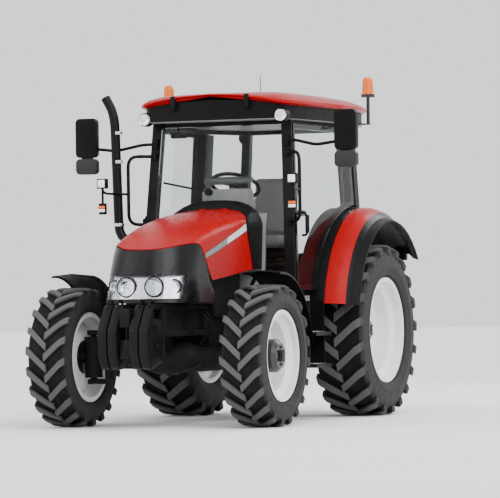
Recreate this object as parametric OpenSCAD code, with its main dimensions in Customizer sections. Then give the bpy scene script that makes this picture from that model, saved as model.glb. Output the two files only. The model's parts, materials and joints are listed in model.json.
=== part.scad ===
// Farm tractor with a glass cab, four driven wheels and a rear linkage.
// Places are measured from the rear axle, +X forward, +Y to the driver's left, +Z up.

/* [Stance] */
// Distance between the axles
wheelbase = 2130; // [2080:10:2180]
// Distance between the front tyres' centre planes
front_track = 1520; // [1500:10:1560]
// Distance between the rear tyres' centre planes
rear_track = 1490; // [1480:10:1520]

/* [Tyres] */
// Front tyre radius over the lugs
front_tyre_r = 512; // [500:1:520]
// Front tyre width
front_tyre_w = 320; // [300:5:330]
// Rear tyre radius over the lugs
rear_tyre_r = 664; // [650:1:680]
// Rear tyre width
rear_tyre_w = 425; // [400:5:440]
// Height of the front lugs
front_lug_h = 32; // [20:1:40]
// Height of the rear lugs
rear_lug_h = 38; // [24:1:46]
// Lugs on each half of a front tyre
front_lugs = 20; // [16:1:22]
// Lugs on each half of a rear tyre
rear_lugs = 21; // [16:1:24]

/* [Rims] */
// Front rim flange radius
front_flange_r = 330; // [310:1:345]
// Rear rim flange radius
rear_flange_r = 408; // [390:1:425]
// Front rim width over the flanges
front_rim_w = 270; // [250:5:280]
// Rear rim width over the flanges
rear_rim_w = 360; // [330:5:370]
// Depth of the front wheel disc behind the tyre's centre plane
front_disc_in = 30; // [10:5:40]
// Depth of the rear wheel disc behind the tyre's centre plane
rear_disc_in = 20; // [10:5:50]
// Thickness of the rim wall
rim_wall = 9; // [6:1:12]
// Thickness of the wheel discs
disc_wall = 14; // [10:1:18]

/* [Front axle] */
// Steering pin's distance inside the tyre's centre plane
kingpin_in = 160; // [155:1:170]
// Half height of the steering knuckle
knuckle_half_h = 150; // [130:5:160]
// Radius of the steering knuckle
knuckle_r = 66; // [55:1:70]
// Radius of the steering pins
kingpin_r = 24; // [18:1:28]
// Radius of the front stub axles
front_stub_r = 45; // [38:1:50]
// Length of the steering arms
steer_arm = 215; // [205:5:230]
// Radius of the differential housing
diff_r = 130; // [110:5:140]

/* [Hood] */
// Length of the hood along its top
hood_l = 1328; // [1280:4:1360]
// Half width of the hood at its rear
hood_half_w = 360; // [340:2:370]
// Height of the hood's rear top edge
hood_rear_z = 1600; // [1580:5:1620]
// Height of the hood's front top edge
hood_front_z = 1289; // [1270:1:1300]
// Height of the nose's lower edge
nose_low_z = 905; // [890:5:920]
// Sheet thickness of the hood and the nose
hood_wall = 8; // [5:1:10]
// Height of the headlamps' lower edge
lamp_low_z = 934; // [920:1:945]
// Height of the headlamps' upper edge
lamp_top_z = 1106; // [1080:1:1120]
// Half width of the headlamp band
lamp_half_w = 300; // [280:2:304]

/* [Cab] */
// Height of the cab floor
floor_z = 940; // [930:5:950]
// Height of the door's lower edge
sill_z = 985; // [980:5:1000]
// Height of the roof's top
roof_top_z = 2503; // [2490:1:2530]
// Thickness of the door leaf
door_t = 34; // [28:1:36]
// Thickness of the glass
glass_t = 6; // [4:1:8]
// Width of the door frame
frame_w = 36; // [28:1:44]
// Radius of the loop handle's bar
handle_r = 9; // [6:1:11]

/* [Fenders] */
// Radius of the rear fender's crown
fender_r = 885; // [875:5:890]
// Sheet thickness of the rear fenders
fender_wall = 6; // [4:1:8]
// Gap between the front tyre and its fender
front_fender_gap = 90; // [80:5:95]
// Sheet thickness of the front fenders
front_fender_wall = 6; // [4:1:8]
// Width of the front fenders
front_fender_w = 300; // [270:5:310]

/* [Exhaust and mirrors] */
// Radius of the exhaust pipe
exhaust_r = 36; // [30:1:42]
// Height of the exhaust's mouth
exhaust_top_z = 2490; // [2400:5:2500]
// Distance of a mirror's centre from the tractor's middle
mirror_y = 1060; // [1040:5:1080]
// Height of the mirrors' centre
mirror_z = 2112; // [2100:2:2130]

/* [Linkage] */
// Length of the lower links between their eyes
link_l = 910; // [890:5:930]
// Length of the lift arms, and the lift rods' place on the links
rocker_l = 360; // [350:5:370]
// Bore of the lower links' rear eyes
link_eye_d = 28.7; // [22.4:0.1:28.7]
// Bore of the drawbar
drawbar_d = 33; // [28:1:36]
// Diameter of the power take-off stub
pto_d = 34.9; // [30:0.1:36]
// Bore of the top link's eye
top_eye_d = 25.7; // [19.3:0.1:25.7]

/* [Hidden] */
$fn = 48;

// Clearances
seat_gap = 0.3;
run_gap = 0.05;
over = 3;
shut_gap = 6;

// Smoothness of bars and bends
bar_sides = 14;
bend_steps = 5;

// Colours
red = [0.72, 0.10, 0.07];
black = [0.07, 0.07, 0.08];
iron = [0.12, 0.12, 0.13];
silver = [0.80, 0.80, 0.79];
rubber = [0.05, 0.05, 0.05];
glass = [0.75, 0.85, 0.85, 0.35];
grey = [0.55, 0.54, 0.52];
lens = [0.92, 0.93, 0.95, 0.8];
amber = [0.95, 0.50, 0.05];

// Overall reach, which sets the origin
weight_overhang = 810;
weight_front_x = wheelbase + weight_overhang;
link_z = 460;
link_x = -50;
link_drop_z = 110;
eye_r = 34;
link_run = sqrt(link_l * link_l - link_drop_z * link_drop_z);
rear_reach_x = link_x - link_run - eye_r;
mid_x = (weight_front_x + rear_reach_x) / 2;

// Wheels
front_y = front_track / 2;
rear_y = rear_track / 2;
lip_t = 10;
seat_drop = 24;
well_d = 38;
well_half_share = 0.22;
front_hub_r = 120;
front_hub_out = 120;
rear_hub_r = 95;
rear_hub_out = 40;
rear_shaft_r = 48;
rear_shaft_end = 25;
hub_face_in = 34;
disc_dish = 36;
bead_share = 0.62;
bead_w = 20;
bead_h = 13;
side_r_shares = [0.10, 0.32, 0.60, 0.84];
side_w_shares = [0.93, 1, 0.98, 0.93];
crown_w_share = 0.84;
crown_drop_share = 0.03;
lug_run_shares = [0.46, 0.13, -0.22, -0.40];
lug_y_shares = [-0.05, 0.32, 0.70, 1];
lug_half_share = 0.165;
lug_w_share = 0.975;

// Front axle and knuckles
kingpin_y = front_y - kingpin_in;
yoke_gap = 12;
yoke_t = 36;
yoke_in = 112;
yoke_wall = 26;
yoke_half_x = 46;
pin_in = 62;
pin_head = 6;
beam_r = 64;
neck_r = 92;
stub_l = 150;
boss_back = 130;
boss_half_y = 32;
boss_mid_y = -18;
boss_low = 20;
boss_top = 92;
arm_z = 30;
arm_h = 40;
arm_end_r = 28;
arm_pin_r = 13;
arm_tilt_y = 0;
tie_r = 16;
tie_eye_r = 26;
tie_eye_h = 34;
trunnion_top = 150;
trunnion_half_x = 110;
trunnion_half_y = 75;
fender_front_from = 85;
fender_front_to = 173;
front_fender_lip = 16;
front_fender_crown = 14;
strut_back = 150;
strut_in = 30;
strut_r = 14;
foot_t = 16;

// Front support, engine and driveline
hood_overhang = 448;
hood_front_x = wheelbase + hood_overhang;
hood_rear_x = hood_front_x - hood_l;
chamfer = 40;
support_half_y = 190;
support_low_z = front_tyre_r + trunnion_top + seat_gap;
support_top_z = 890;
support_back = 330;
support_ahead = 490;
support_rear_x = wheelbase - support_back;
support_front_x = wheelbase + support_ahead;
carrier_t = 40;
carrier_half_y = 190;
carrier_low_z = 520;
carrier_top_z = 860;
engine_ahead = 40;
engine_rear_x = hood_rear_x + engine_ahead;
engine_low_z = 470;
engine_sump_z = 600;
engine_mid_z = 800;
engine_top_z = 1270;
sump_half_y = 150;
block_half_y = 185;
head_half_y = 225;
cover_half_y = 120;
cover_h = 90;
cover_r = 30;
radiator_ahead = 40;
radiator_x = wheelbase + radiator_ahead;
radiator_t = 130;
radiator_half_y = 250;
radiator_top_z = 1235;
gear_half_y = 185;
gear_low_z = 430;
gear_top_z = 800;
axle_case_x = 250;
axle_case_half_y = 235;
axle_case_low_z = 420;
axle_case_top_z = 890;
lift_case_top_z = 1060;
lift_case_front_x = 110;
trumpet_r = 128;
trumpet_end_r = 100;
trumpet_end_y = 490;
flange_t = 30;
flange_r = 150;
prop_r = 28;
prop_guard_r = 42;
prop_z = gear_low_z - prop_guard_r + chamfer - seat_gap;

// Weights
weight_rear_x = support_front_x + carrier_t + seat_gap;
weight_low_z = 425;
weight_top_z = 893;
weight_t = 64;
weight_gap = 13;
weight_block_t = 76;
weight_handle_r = 34;
weight_corner_r = 60;
tow_jaw_h = 90;
tow_jaw_z = 690;
tow_jaw_reach = 40;
tow_pin_r = 14;
tow_pin_h = 180;

// Hood, nose and cowl: shares along and across the hood
hood_rear_side_z = 1145;
hood_front_side_z = 1061;
shoulder_rear_z = 1478;
shoulder_front_z = 1215;
hood_top_shares = [[0, 1], [0.26, 0.88], [0.52, 0.68], [0.76, 0.40], [0.92, 0.14], [1, 0]];
hood_width_shares = [[0, 1], [0.35, 0.99], [0.60, 0.955], [0.78, 0.905], [0.92, 0.84], [1, 0.80]];
hood_y_shares = [1, 1, 1, 0.997, 0.985, 0.955, 0.90, 0.82, 0.70, 0.55, 0.37, 0.19, 0];
hood_side_shares = [0, 0.5, 1];
hood_rise_shares = [0.12, 0.27, 0.44, 0.60, 0.73, 0.84, 0.915, 0.965, 0.992, 1];
hood_tip_shares = [0.64, 0.70, 0.765, 0.775, 0.79, 0.82, 0.86, 0.90, 0.94, 0.972, 0.99, 0.998, 1];
hood_tail_shares = [0.077, 0.12, 0.166, 0.163, 0.155, 0.14, 0.115, 0.085, 0.055, 0.022, 0.001, 0, 0];
nose_x_shares = [-0.443, -0.36, -0.262, -0.185, -0.115, -0.052, -0.008, 0.022, 0.045, 0.064, 0.077, 0.085,
    0.087];
nose_y_shares = [0.90, 0.915, 0.925, 0.925, 0.915, 0.885, 0.825, 0.735, 0.615, 0.47, 0.31, 0.155, 0];
nose_bulge_share = 0.7;
seam_share = 1.08;
seam_gap = 12.5;
hood_steps = 12;
nose_steps = 6;
hinge_r = 5;
hinge_eye_r = 9;
hinge_y = 90;
hinge_w = 40;
hinge_back = 11;
hinge_drop = 4;
hinge_lug_w = 14;
hinge_lug_r = 6.5;
cowl_gap = 22;
lens_in = 1.5;
cowl_rise = 70;
cowl_flat_share = 0.1;
cowl_climb_share = 0.25;
cowl_wall = 14;

// Cab planes: the side leans in and narrows forward, the front leans back
side_y = 796.7;
side_turn = -4.77;
side_lean = 3.49;
cab_front_gap = 37;
front_x0 = hood_rear_x + cab_front_gap;
front_lean = 5.67;
roof_deep = 233;
post_top_z = roof_top_z - roof_deep;
door_drop = 30;
door_top_z = post_top_z - door_drop;
post_w = 82;
post_deep = 74;
post_lip = 24;
post_skin = 3;
post_b_x = -30;
post_b_half = 42;
quarter_x = -450;
post_c_half = 34;
quarter_in = 262;
rail_h = 34;
rail_in = 61;
leaf_gap = 6;
post_in = door_t + leaf_gap;
door_front_gap = 30;
door_rear_x = 48;
door_arc_gap = 22;
arc_x = -40;
arc_z = 740;
door_axis_in = 17;
door_axis_back = 18;
door_pin_r = 7;
door_eye_r = 13;
door_lug_r = 9;
door_eye_h = 60;
door_pin_drop = 70;
door_pin_span = 440;
door_top_pin_z = door_top_z - door_pin_drop;
door_low_pin_z = door_top_pin_z - door_pin_span;
handle_back = 277;
handle_x = front_x0 - handle_back;
handle_z = 1480;
handle_half = 85;
handle_out = 46;
floor_t = 40;
cab_foot_x0 = 560;
cab_foot_back = 240;
cab_foot_x1 = engine_rear_x - cab_foot_back;
cab_foot_y = 120;
cab_foot_r = 45;
seat_deck_z = 1120;
seat_deck_x = 330;
house_gap = 32;
house_y = rear_y - rear_tyre_w / 2 - house_gap;
strip_in = 68;
strip_y = rear_y - strip_in;
fender_y_shares = [0, 0.50, 0.83, 1];
fender_drop_shares = [0, 0.010, 0.046, 0.095];
fender_w = 240;
flare_w = 55;
flare_drop = 26;
fender_from = 9;
fender_to = 142;
house_from = 10;
house_to = 158;
house_low_z = 800;
fire_half_y = 385;
fire_top_z = 1565;
fire_t = 12;
rear_sill_z = 1280;
steer_back = 487;
steer_x = front_x0 - steer_back;
steer_z = 1790;
steer_r = 200;
steer_bar_r = 15;
steer_hub_r = 45;
steer_hub_h = 50;
steer_shaft_r = 12;
steer_lean = 28;
dash_back = 287;
dash_x = front_x0 - dash_back;
dash_half_y = 190;
dash_top_z = 1760;
dash_deep = 150;
dash_low_deep = 110;
column_r = 50;
seat_x = 20;
seat_w = 480;
seat_l = 460;
seat_t = 110;
seat_z = 1310;
seat_back_h = 560;
seat_back_t = 110;
seat_round = 50;
suspension_half = 150;
console_x0 = -200;
console_x1 = 480;
console_w = 130;
console_z = 1420;
lever_r = 7;
knob_r = 20;
lever_h = 170;

// Roof
roof_brow = 11;
roof_front_x = front_x0 + roof_brow;
roof_wide_half = 716;
roof_rear_x = -560;
roof_x_shares = [1, 1, 1, 0.992, 0.965, 0.90, 0.70, 0.42, 0.25, 0.12, 0.04, 0, 0, 0];
roof_y_shares = [0, 0.35, 0.62, 0.76, 0.82, 0.87, 0.95, 1, 0.985, 0.93, 0.84, 0.66, 0.35, 0];
lining_share = 0.955;
lining_h = 102;
roof_ring_shares = [0.97, 1, 0.995, 0.95, 0.85, 0.66, 0.36];
roof_rise_shares = [0, 0.11, 0.27, 0.46, 0.68, 0.88, 1];
roof_arch = 86;
roof_arch_half = 580;
lining_lift_share = 0.68;
aerial_x = 250;
aerial_r = 3;
aerial_h = 170;

// Lamps, beacons and mirrors
work_lamp_r = 52;
work_lamp_t = 62;
work_lamp_back = 80;
work_lamp_x = front_x0 - work_lamp_back;
work_lamp_y = 558;
rear_lamp_y = 440;
stalk_r = 9;
small_lamp_ahead = 273;
small_lamp_x = front_x0 + small_lamp_ahead;
small_lamp_y = 770;
small_lamp_z = 1806;
small_lamp_size = 74;
small_lamp_t = 46;
indicator_w = 46;
indicator_h = 84;
indicator_drop = 190;
rail_r = 13;
rail_back = 47;
rail_x = front_x0 - rail_back;
rail_y = 700;
rail_low_z = 1500;
rail_top_z = 2020;
beacon_x = 110;
beacon_y = 842;
beacon_drop = 33;
beacon_base_z = roof_top_z - beacon_drop;
beacon_r = 54;
beacon_h = 156;
beacon_share = 0.97;
beacon_plate = 12;
mirror_back = 91;
mirror_x = front_x0 - mirror_back;
mirror_w = 170;
mirror_h = 300;
mirror_low_h = 120;
mirror_t = 62;
mirror_round = 34;
mirror_arm_r = 12;
mirror_sag = 46;
exhaust_back = 17;
exhaust_x = front_x0 - exhaust_back;
exhaust_y = -767;
exhaust_low_z = 1370;
exhaust_lean = 26;
exhaust_wall = 3;
exhaust_bend = 130;
spout_reach = 150;

// Tank, box and steps
tank_gap = 17;
tank_x0 = arc_x + fender_r + tank_gap;
tank_ahead = 53;
tank_x1 = front_x0 + tank_ahead;
tank_y0 = 250;
tank_y1 = 560;
tank_low_z = 470;
tank_top_z = 870;
tank_round = 50;
step_in = 18;
step_x0 = tank_x0 + step_in;
step_l = 320;
step_x1 = step_x0 + step_l;
step_y0 = 575;
step_y1 = 800;
step_t = 28;
step_z = 400;
step_mid_z = 640;
step_side_t = 12;

// Rear linkage
pivot_y = 300;
link_eye_y = 410;
link_h = 74;
link_t = 26;
link_pin_r = 15;
link_boss_r = 36;
rock_x = -200;
rock_z = 880;
rock_r = 34;
rock_half_y = 335;
lift_arm_t = 30;
lift_arm_h = 70;
lift_rod_r = 17;
lift_pin_r = 12;
lift_boss_r = 28;
rod_out = 82;
rod_y = pivot_y + rod_out;
link_turn = atan2(link_drop_z, link_run);
drawbar_z = 395;
drawbar_t = 36;
drawbar_w = 84;
drawbar_x0 = 150;
drawbar_x1 = -800;
drawbar_hole_x = -740;
hanger_w = 160;
hanger_t = 40;
pto_z = 600;
pto_l = 110;
pto_boss_r = 70;
pto_boss_t = 24;
top_bracket_x = -60;
top_bracket_h = 110;
top_bracket_t = 18;
top_bracket_gap = 56;
top_z = 790;
top_pin_r = 12;
top_link_l = 560;
top_link_r = 20;
top_link_turn = 34;
top_eye_r = 30;
top_eye_w = 50;

// Small helpers
function unit(v) = v / norm(v);
function mix(a, b, t) = a + (b - a) * t;
function total(v) = v * [for (i = v) 1];
function last(v) = len(v) - 1;
function quad(a, b, c, d) = [[a, b, c], [a, c, d]];

// Closed solid whose faces all look outward
module solid(points, faces) {
  turn = total([for (f = faces) cross(points[f[0]], points[f[1]]) * points[f[2]]]) > 0;
  polyhedron(points, [for (f = faces) turn ? [f[2], f[1], f[0]] : f]);
}

// Skin through rings of equal count, closed by flat ends
module skin(rings) {
  n = len(rings[0]);
  m = len(rings);
  sides = [for (k = [0:m - 2], i = [0:n - 1]) let (j = (i + 1) % n)
    each quad(k * n + i, k * n + j, (k + 1) * n + j, (k + 1) * n + i)];
  ends = [for (i = [1:n - 2]) each [[0, i + 1, i], [(m - 1) * n, (m - 1) * n + i, (m - 1) * n + i + 1]]];
  solid([for (r = rings) each r], concat(sides, ends));
}

// Direction square to a grid of points
function grid_normal(g, k, i) =
  let (k0 = max(k - 1, 0), k1 = min(k + 1, last(g)), i0 = max(i - 1, 0), i1 = min(i + 1, last(g[0])))
  unit(cross(g[k1][i] - g[k0][i], g[k][i1] - g[k][i0]));
function grid_at(g, d) =
  [for (k = [0:last(g)]) [for (i = [0:last(g[0])]) g[k][i] + d * grid_normal(g, k, i)]];

// Sheet over a grid, between two depths below it
module sheet(g, near, far) {
  m = len(g);
  n = len(g[0]);
  h = m * n;
  upper = grid_at(g, near);
  lower = grid_at(g, far);
  faces = [for (k = [0:m - 2], i = [0:n - 2])
    let (a = k * n + i, b = a + 1, c = b + n, d = a + n)
    each concat(quad(a, b, c, d), quad(h + d, h + c, h + b, h + a),
      k == 0 ? quad(b, a, h + a, h + b) : [],
      k == m - 2 ? quad(d, c, h + c, h + d) : [],
      i == 0 ? quad(a, d, h + d, h + a) : [],
      i == n - 2 ? quad(c, b, h + b, h + c) : [])];
  solid(concat([for (r = upper) each r], [for (r = lower) each r]), faces);
}

// Rounded corners along a path
function bend(p, r) = [p[0], for (i = [1:last(p) - 1])
  let (a = p[i] + min(r, norm(p[i - 1] - p[i]) / 2) * unit(p[i - 1] - p[i]),
       b = p[i] + min(r, norm(p[i + 1] - p[i]) / 2) * unit(p[i + 1] - p[i]))
  each [for (k = [0:bend_steps]) let (s = k / bend_steps)
    (1 - s) * (1 - s) * a + 2 * s * (1 - s) * p[i] + s * s * b], p[last(p)]];

// Round bar along a path, with up as the direction that the path never takes
module bar(path, r, up = [0, 0, 1]) {
  skin([for (k = [0:last(path)])
    let (d = unit(path[min(k + 1, last(path))] - path[max(k - 1, 0)]), s = unit(cross(d, up)),
        t = cross(s, d))
    [for (j = [0:bar_sides - 1])
        path[k] + r * (cos(360 * j / bar_sides) * s + sin(360 * j / bar_sides) * t)]]);
}

// Block between two corners
module block(lo, hi) {
  translate(lo) cube(hi - lo);
}

// Block with rounded upright edges between two corners
module soft_block(lo, hi, r) {
  translate([lo[0], lo[1], lo[2]])
    linear_extrude(hi[2] - lo[2])
      translate([r, r]) offset(r) square([hi[0] - lo[0] - 2 * r, hi[1] - lo[1] - 2 * r]);
}

// Upright cylinder with its middle at a place
module post(p, r, h) {
  translate([p[0], p[1], p[2] - h / 2]) cylinder(r = r, h = h);
}

// Cylinder across the tractor with its middle at a place
module cross_pin(p, r, w) {
  translate([p[0], p[1] + w / 2, p[2]]) rotate([90, 0, 0]) cylinder(r = r, h = w);
}

module both_sides() {
  children();
  mirror([0, 1, 0]) children();
}

// Places on a wheel: its axis along +Y, outboard to the left
module at_wheel(x, y, z) {
  translate([x, y, z]) rotate([-90, 0, 0]) children();
}

// Tyre: outline from the bead over the tread
function tyre_half(r, w, flange, rim_w) =
  let (h = r - flange)
  concat([[flange - seat_drop + seat_gap, rim_w / 2 - lip_t - seat_gap],
      [flange + seat_gap, rim_w / 2 - lip_t - seat_gap]],
    [for (k = [0:3]) [flange + side_r_shares[k] * h, side_w_shares[k] * w / 2]],
    [[r - crown_drop_share * h, crown_w_share * w / 2]]);

function both_halves(half) = concat(half, [for (k = [last(half):-1:0]) [half[k][0], -half[k][1]]]);

// One slanted lug, taller than the tread's outline that trims it
module lug(r, w, h, pitch) {
  path = [for (k = [0:last(lug_y_shares)]) [lug_run_shares[k] * pitch, lug_y_shares[k] * w / 2]];
  half = [lug_half_share * pitch, 0];
  translate([r - 2 * h, 0, 0]) rotate([90, 0, 90]) linear_extrude(2 * h + over)
    polygon(concat([for (p = path) p + half], [for (k = [last(path):-1:0]) path[k] - half]));
}

// Tyre: a carcass with lugs that alternate on its two halves
module tyre(r, w, flange, rim_w, h, count) {
  pitch = 2 * PI * r / count;
  rotate_extrude() polygon(both_halves(concat(tyre_half(r - h, w, flange, rim_w), [[r - h, 0]])));
  intersection() {
    rotate_extrude()
      polygon(both_halves([[r - 2 * h, lug_w_share * w / 2], [r - h / 2, lug_w_share * w / 2],
        [r - h / 8, crown_w_share * w / 2], [r, w / 4]]));
    for (k = [0:count - 1]) {
      rotate([0, 0, 360 * k / count]) lug(r, w, h, pitch);
      rotate([0, 0, 360 * (k + 0.5) / count]) mirror([0, 0, 1]) lug(r, w, h, pitch);
    }
  }
}

// Rim, disc and hub in one turned section
module rim(flange, rim_w, disc_in, hub_r, hub_out, bore_r, bore_end) {
  hw = rim_w / 2;
  seat_r = flange - seat_drop;
  well = rim_w * well_half_share;
  slope = well + well_d;
  inner_r = seat_r - well_d - rim_wall;
  back = -disc_in - disc_dish;
  bead_r = mix(hub_r + disc_dish, inner_r, bead_share);
  bead_z = mix(back, -disc_in, bead_share);
  rotate_extrude()
    polygon([[flange, hw], [flange, hw - lip_t], [seat_r, hw - lip_t], [seat_r, slope],
        [seat_r - well_d, well],
      [seat_r - well_d, -well], [seat_r, -slope], [seat_r, lip_t - hw], [flange, lip_t - hw],
          [flange, -hw],
      [seat_r - rim_wall, -hw], [seat_r - rim_wall, -slope], [inner_r, -well], [inner_r, well],
      [seat_r - rim_wall, slope], [seat_r - rim_wall, hw]]);
  rotate_extrude()
    polygon([[inner_r + rim_wall / 2, -disc_in], [inner_r + rim_wall / 2, -disc_in - disc_wall],
      [hub_r + disc_dish, back - disc_wall], [hub_r, back - disc_wall], [hub_r, back - hub_face_in / 2],
          [bore_r, back - hub_face_in / 2],
      [bore_r, bore_end], [0, bore_end], [0, hub_out], [hub_r * 3 / 4, hub_out],
          [hub_r, hub_out - hub_r / 4],
      [hub_r, back], [hub_r + disc_dish, back], [bead_r - bead_w, bead_z - bead_w / 4],
          [bead_r - bead_w / 2, bead_z + bead_h],
      [bead_r + bead_w / 2, bead_z + bead_h], [bead_r + bead_w, bead_z + bead_w / 4]]);
}

module front_tyre() {
  at_wheel(wheelbase, front_y, front_tyre_r)
      tyre(front_tyre_r, front_tyre_w, front_flange_r, front_rim_w, front_lug_h, front_lugs);
}

module front_rim() {
  at_wheel(wheelbase, front_y, front_tyre_r)
    rim(front_flange_r, front_rim_w, front_disc_in, front_hub_r, front_hub_out, front_stub_r + run_gap,
      stub_l - kingpin_in + shut_gap);
}

module rear_tyre() {
  at_wheel(0, rear_y, rear_tyre_r)
      tyre(rear_tyre_r, rear_tyre_w, rear_flange_r, rear_rim_w, rear_lug_h, rear_lugs);
}

module rear_rim() {
  at_wheel(0, rear_y, rear_tyre_r)
    rim(rear_flange_r, rear_rim_w, rear_disc_in, rear_hub_r, rear_hub_out, rear_shaft_r + run_gap,
      rear_shaft_end - rear_hub_r / 2 + shut_gap);
}

module tyre_front_left() {
  color(rubber) front_tyre();
}

module tyre_front_right() {
  color(rubber) mirror([0, 1, 0]) front_tyre();
}

module rim_front_left() {
  color(silver) front_rim();
}

module rim_front_right() {
  color(silver) mirror([0, 1, 0]) front_rim();
}

module tyre_rear_left() {
  color(rubber) rear_tyre();
}

module tyre_rear_right() {
  color(rubber) mirror([0, 1, 0]) rear_tyre();
}

module rim_rear_left() {
  color(silver) rear_rim();
}

module rim_rear_right() {
  color(silver) mirror([0, 1, 0]) rear_rim();
}

// Front axle: housing, beam, and a fork with two pins at each end
module front_axle() {
  beam_end = kingpin_y - yoke_in - yoke_wall / 2;
  color(iron) {
    translate([wheelbase, 0, front_tyre_r]) {
      rotate([90, 0, 0]) rotate_extrude()
        polygon([[0, -beam_end], [beam_r, -beam_end], [beam_r, -diff_r * 2],
          [neck_r, -diff_r * 1.5], [diff_r, -diff_r / 2], [diff_r, diff_r / 2], [neck_r, diff_r * 1.5],
          [beam_r, diff_r * 2], [beam_r, beam_end], [0, beam_end]]);
      block([-trunnion_half_x, -trunnion_half_y, 0], [trunnion_half_x, trunnion_half_y, trunnion_top]);
    }
    both_sides() axle_fork();
    translate([wheelbase - diff_r, 0, prop_z]) rotate([0, 90, 0])
        cylinder(r = prop_guard_r * 1.3, h = diff_r);
  }
}

module axle_fork() {
  top = knuckle_half_h + yoke_gap;
  translate([wheelbase, kingpin_y, front_tyre_r]) {
    block([-yoke_half_x, -yoke_in - yoke_wall, -top - yoke_t], [yoke_half_x, -yoke_in, top + yoke_t]);
    for (s = [-1, 1]) {
      translate([0, 0, s * (top + yoke_t / 2)]) {
        translate([-yoke_half_x, -yoke_in - yoke_wall / 2, -yoke_t / 2])
            cube([2 * yoke_half_x, yoke_in + yoke_wall / 2, yoke_t]);
        cylinder(r = yoke_half_x, h = yoke_t, center = true);
        translate([0, 0, -s * (yoke_t / 2 + (yoke_gap + pin_in) / 2 - over)])
          cylinder(r = kingpin_r, h = yoke_gap + pin_in + 2 * over, center = true);
      }
    }
  }
}

// Steering knuckle with stub axle and steering arm
module knuckle() {
  translate([wheelbase, kingpin_y, front_tyre_r]) {
    difference() {
      union() {
        cylinder(r = knuckle_r, h = 2 * knuckle_half_h, center = true);
        rotate([-90, 0, 0]) cylinder(r = front_stub_r, h = stub_l);
        block([-boss_back, boss_mid_y - boss_half_y, boss_low], [0, boss_mid_y + boss_half_y, boss_top]);
        translate([0, 0, arm_z]) linear_extrude(arm_h, center = true) hull() {
          circle(arm_end_r * 1.5);
          translate([-steer_arm, arm_tilt_y]) circle(arm_end_r);
        }
        translate([-steer_arm, arm_tilt_y, arm_z])
            cylinder(r = arm_pin_r, h = arm_h / 2 + tie_eye_h + over);
      }
      for (s = [-1, 1])
        translate([0, 0, s * knuckle_half_h])
            cylinder(r = kingpin_r + run_gap, h = 2 * (pin_in + pin_head), center = true);
    }
  }
}

module knuckle_left() {
  color(iron) knuckle();
}

module knuckle_right() {
  color(iron) mirror([0, 1, 0]) knuckle();
}

module track_rod() {
  end_y = kingpin_y + arm_tilt_y;
  eye_z = front_tyre_r + arm_z + arm_h / 2 + seat_gap + tie_eye_h / 2;
  color(iron) translate([wheelbase - steer_arm, 0, 0]) difference() {
    union() {
      cross_pin([0, 0, eye_z], tie_r, 2 * end_y);
      both_sides() post([0, end_y, eye_z], tie_eye_r, tie_eye_h);
    }
    both_sides() post([0, end_y, eye_z], arm_pin_r + run_gap, tie_eye_h + 2 * over);
  }
}

// Front fender: a turned strip over the tyre on a strut from the knuckle
module front_fender() {
  r = front_tyre_r + front_fender_gap;
  in_y = front_y - kingpin_y - front_fender_w / 2;
  foot = [boss_half_y * 0.75 - boss_back, boss_mid_y, boss_top + seat_gap];
  translate([wheelbase, kingpin_y, front_tyre_r]) {
    rotate([-90, 0, 0]) rotate([0, 0, -fender_front_to])
        rotate_extrude(angle = fender_front_to - fender_front_from)
      polygon([[r - front_fender_lip, in_y], [r, in_y + front_fender_wall],
          [r + front_fender_crown, in_y + front_fender_w / 2],
        [r, in_y + front_fender_w - front_fender_wall], [r - front_fender_lip, in_y + front_fender_w],
        [r - front_fender_lip, in_y + front_fender_w - front_fender_wall],
            [r - front_fender_wall, in_y + front_fender_w - 2 * front_fender_wall],
        [r + front_fender_crown - front_fender_wall, in_y + front_fender_w / 2],
        [r - front_fender_wall, in_y + 2 * front_fender_wall],
            [r - front_fender_lip, in_y + front_fender_wall]]);
    bar(bend([foot + [0, 0, foot_t / 2], foot + [-strut_back / 2, 0, strut_back],
        [-strut_back, boss_mid_y, r * 0.8],
      [-strut_back, in_y + strut_in, sqrt(r * r - strut_back * strut_back) - front_fender_wall / 2]],
          strut_back / 3), strut_r, [0, 1, 0]);
    translate(foot + [0, 0, foot_t / 2])
        cube([boss_half_y * 1.5, boss_half_y * 1.5, foot_t], center = true);
  }
}

module front_fender_left() {
  color(black) front_fender();
}

module front_fender_right() {
  color(black) mirror([0, 1, 0]) front_fender();
}

// Front support casting with the plate that carries the weights
module front_support() {
  color(iron) {
    difference() {
      block([support_rear_x, -support_half_y, support_low_z],
          [support_front_x, support_half_y, support_top_z]);
      both_sides() block([support_rear_x + chamfer, support_half_y - chamfer, support_low_z + chamfer],
        [support_front_x - chamfer, support_half_y + over, support_top_z - chamfer]);
    }
    block([support_front_x - over, -carrier_half_y, carrier_low_z],
        [support_front_x + carrier_t, carrier_half_y, carrier_top_z]);
  }
}

module engine_block() {
  front = support_rear_x - seat_gap;
  color(iron) {
    block([engine_rear_x + chamfer, -sump_half_y, engine_low_z],
        [front - chamfer, sump_half_y, engine_sump_z + over]);
    block([engine_rear_x, -block_half_y, engine_sump_z], [front, block_half_y, engine_mid_z]);
    block([engine_rear_x, -head_half_y, engine_mid_z - over],
        [front, head_half_y, support_top_z + seat_gap]);
    block([engine_rear_x, -head_half_y, support_top_z + seat_gap],
        [wheelbase - chamfer, head_half_y, engine_top_z]);
    soft_block([engine_rear_x + chamfer, -cover_half_y, engine_top_z - over],
        [wheelbase - 2 * chamfer, cover_half_y, engine_top_z + cover_h], cover_r);
  }
}

module radiator() {
  color(black) difference() {
    block([radiator_x, -radiator_half_y, support_top_z + seat_gap],
        [radiator_x + radiator_t, radiator_half_y, radiator_top_z]);
    block([radiator_x + radiator_t - chamfer / 2, chamfer - radiator_half_y, support_top_z + chamfer],
      [radiator_x + radiator_t + over, radiator_half_y - chamfer, radiator_top_z - chamfer]);
  }
}

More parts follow.
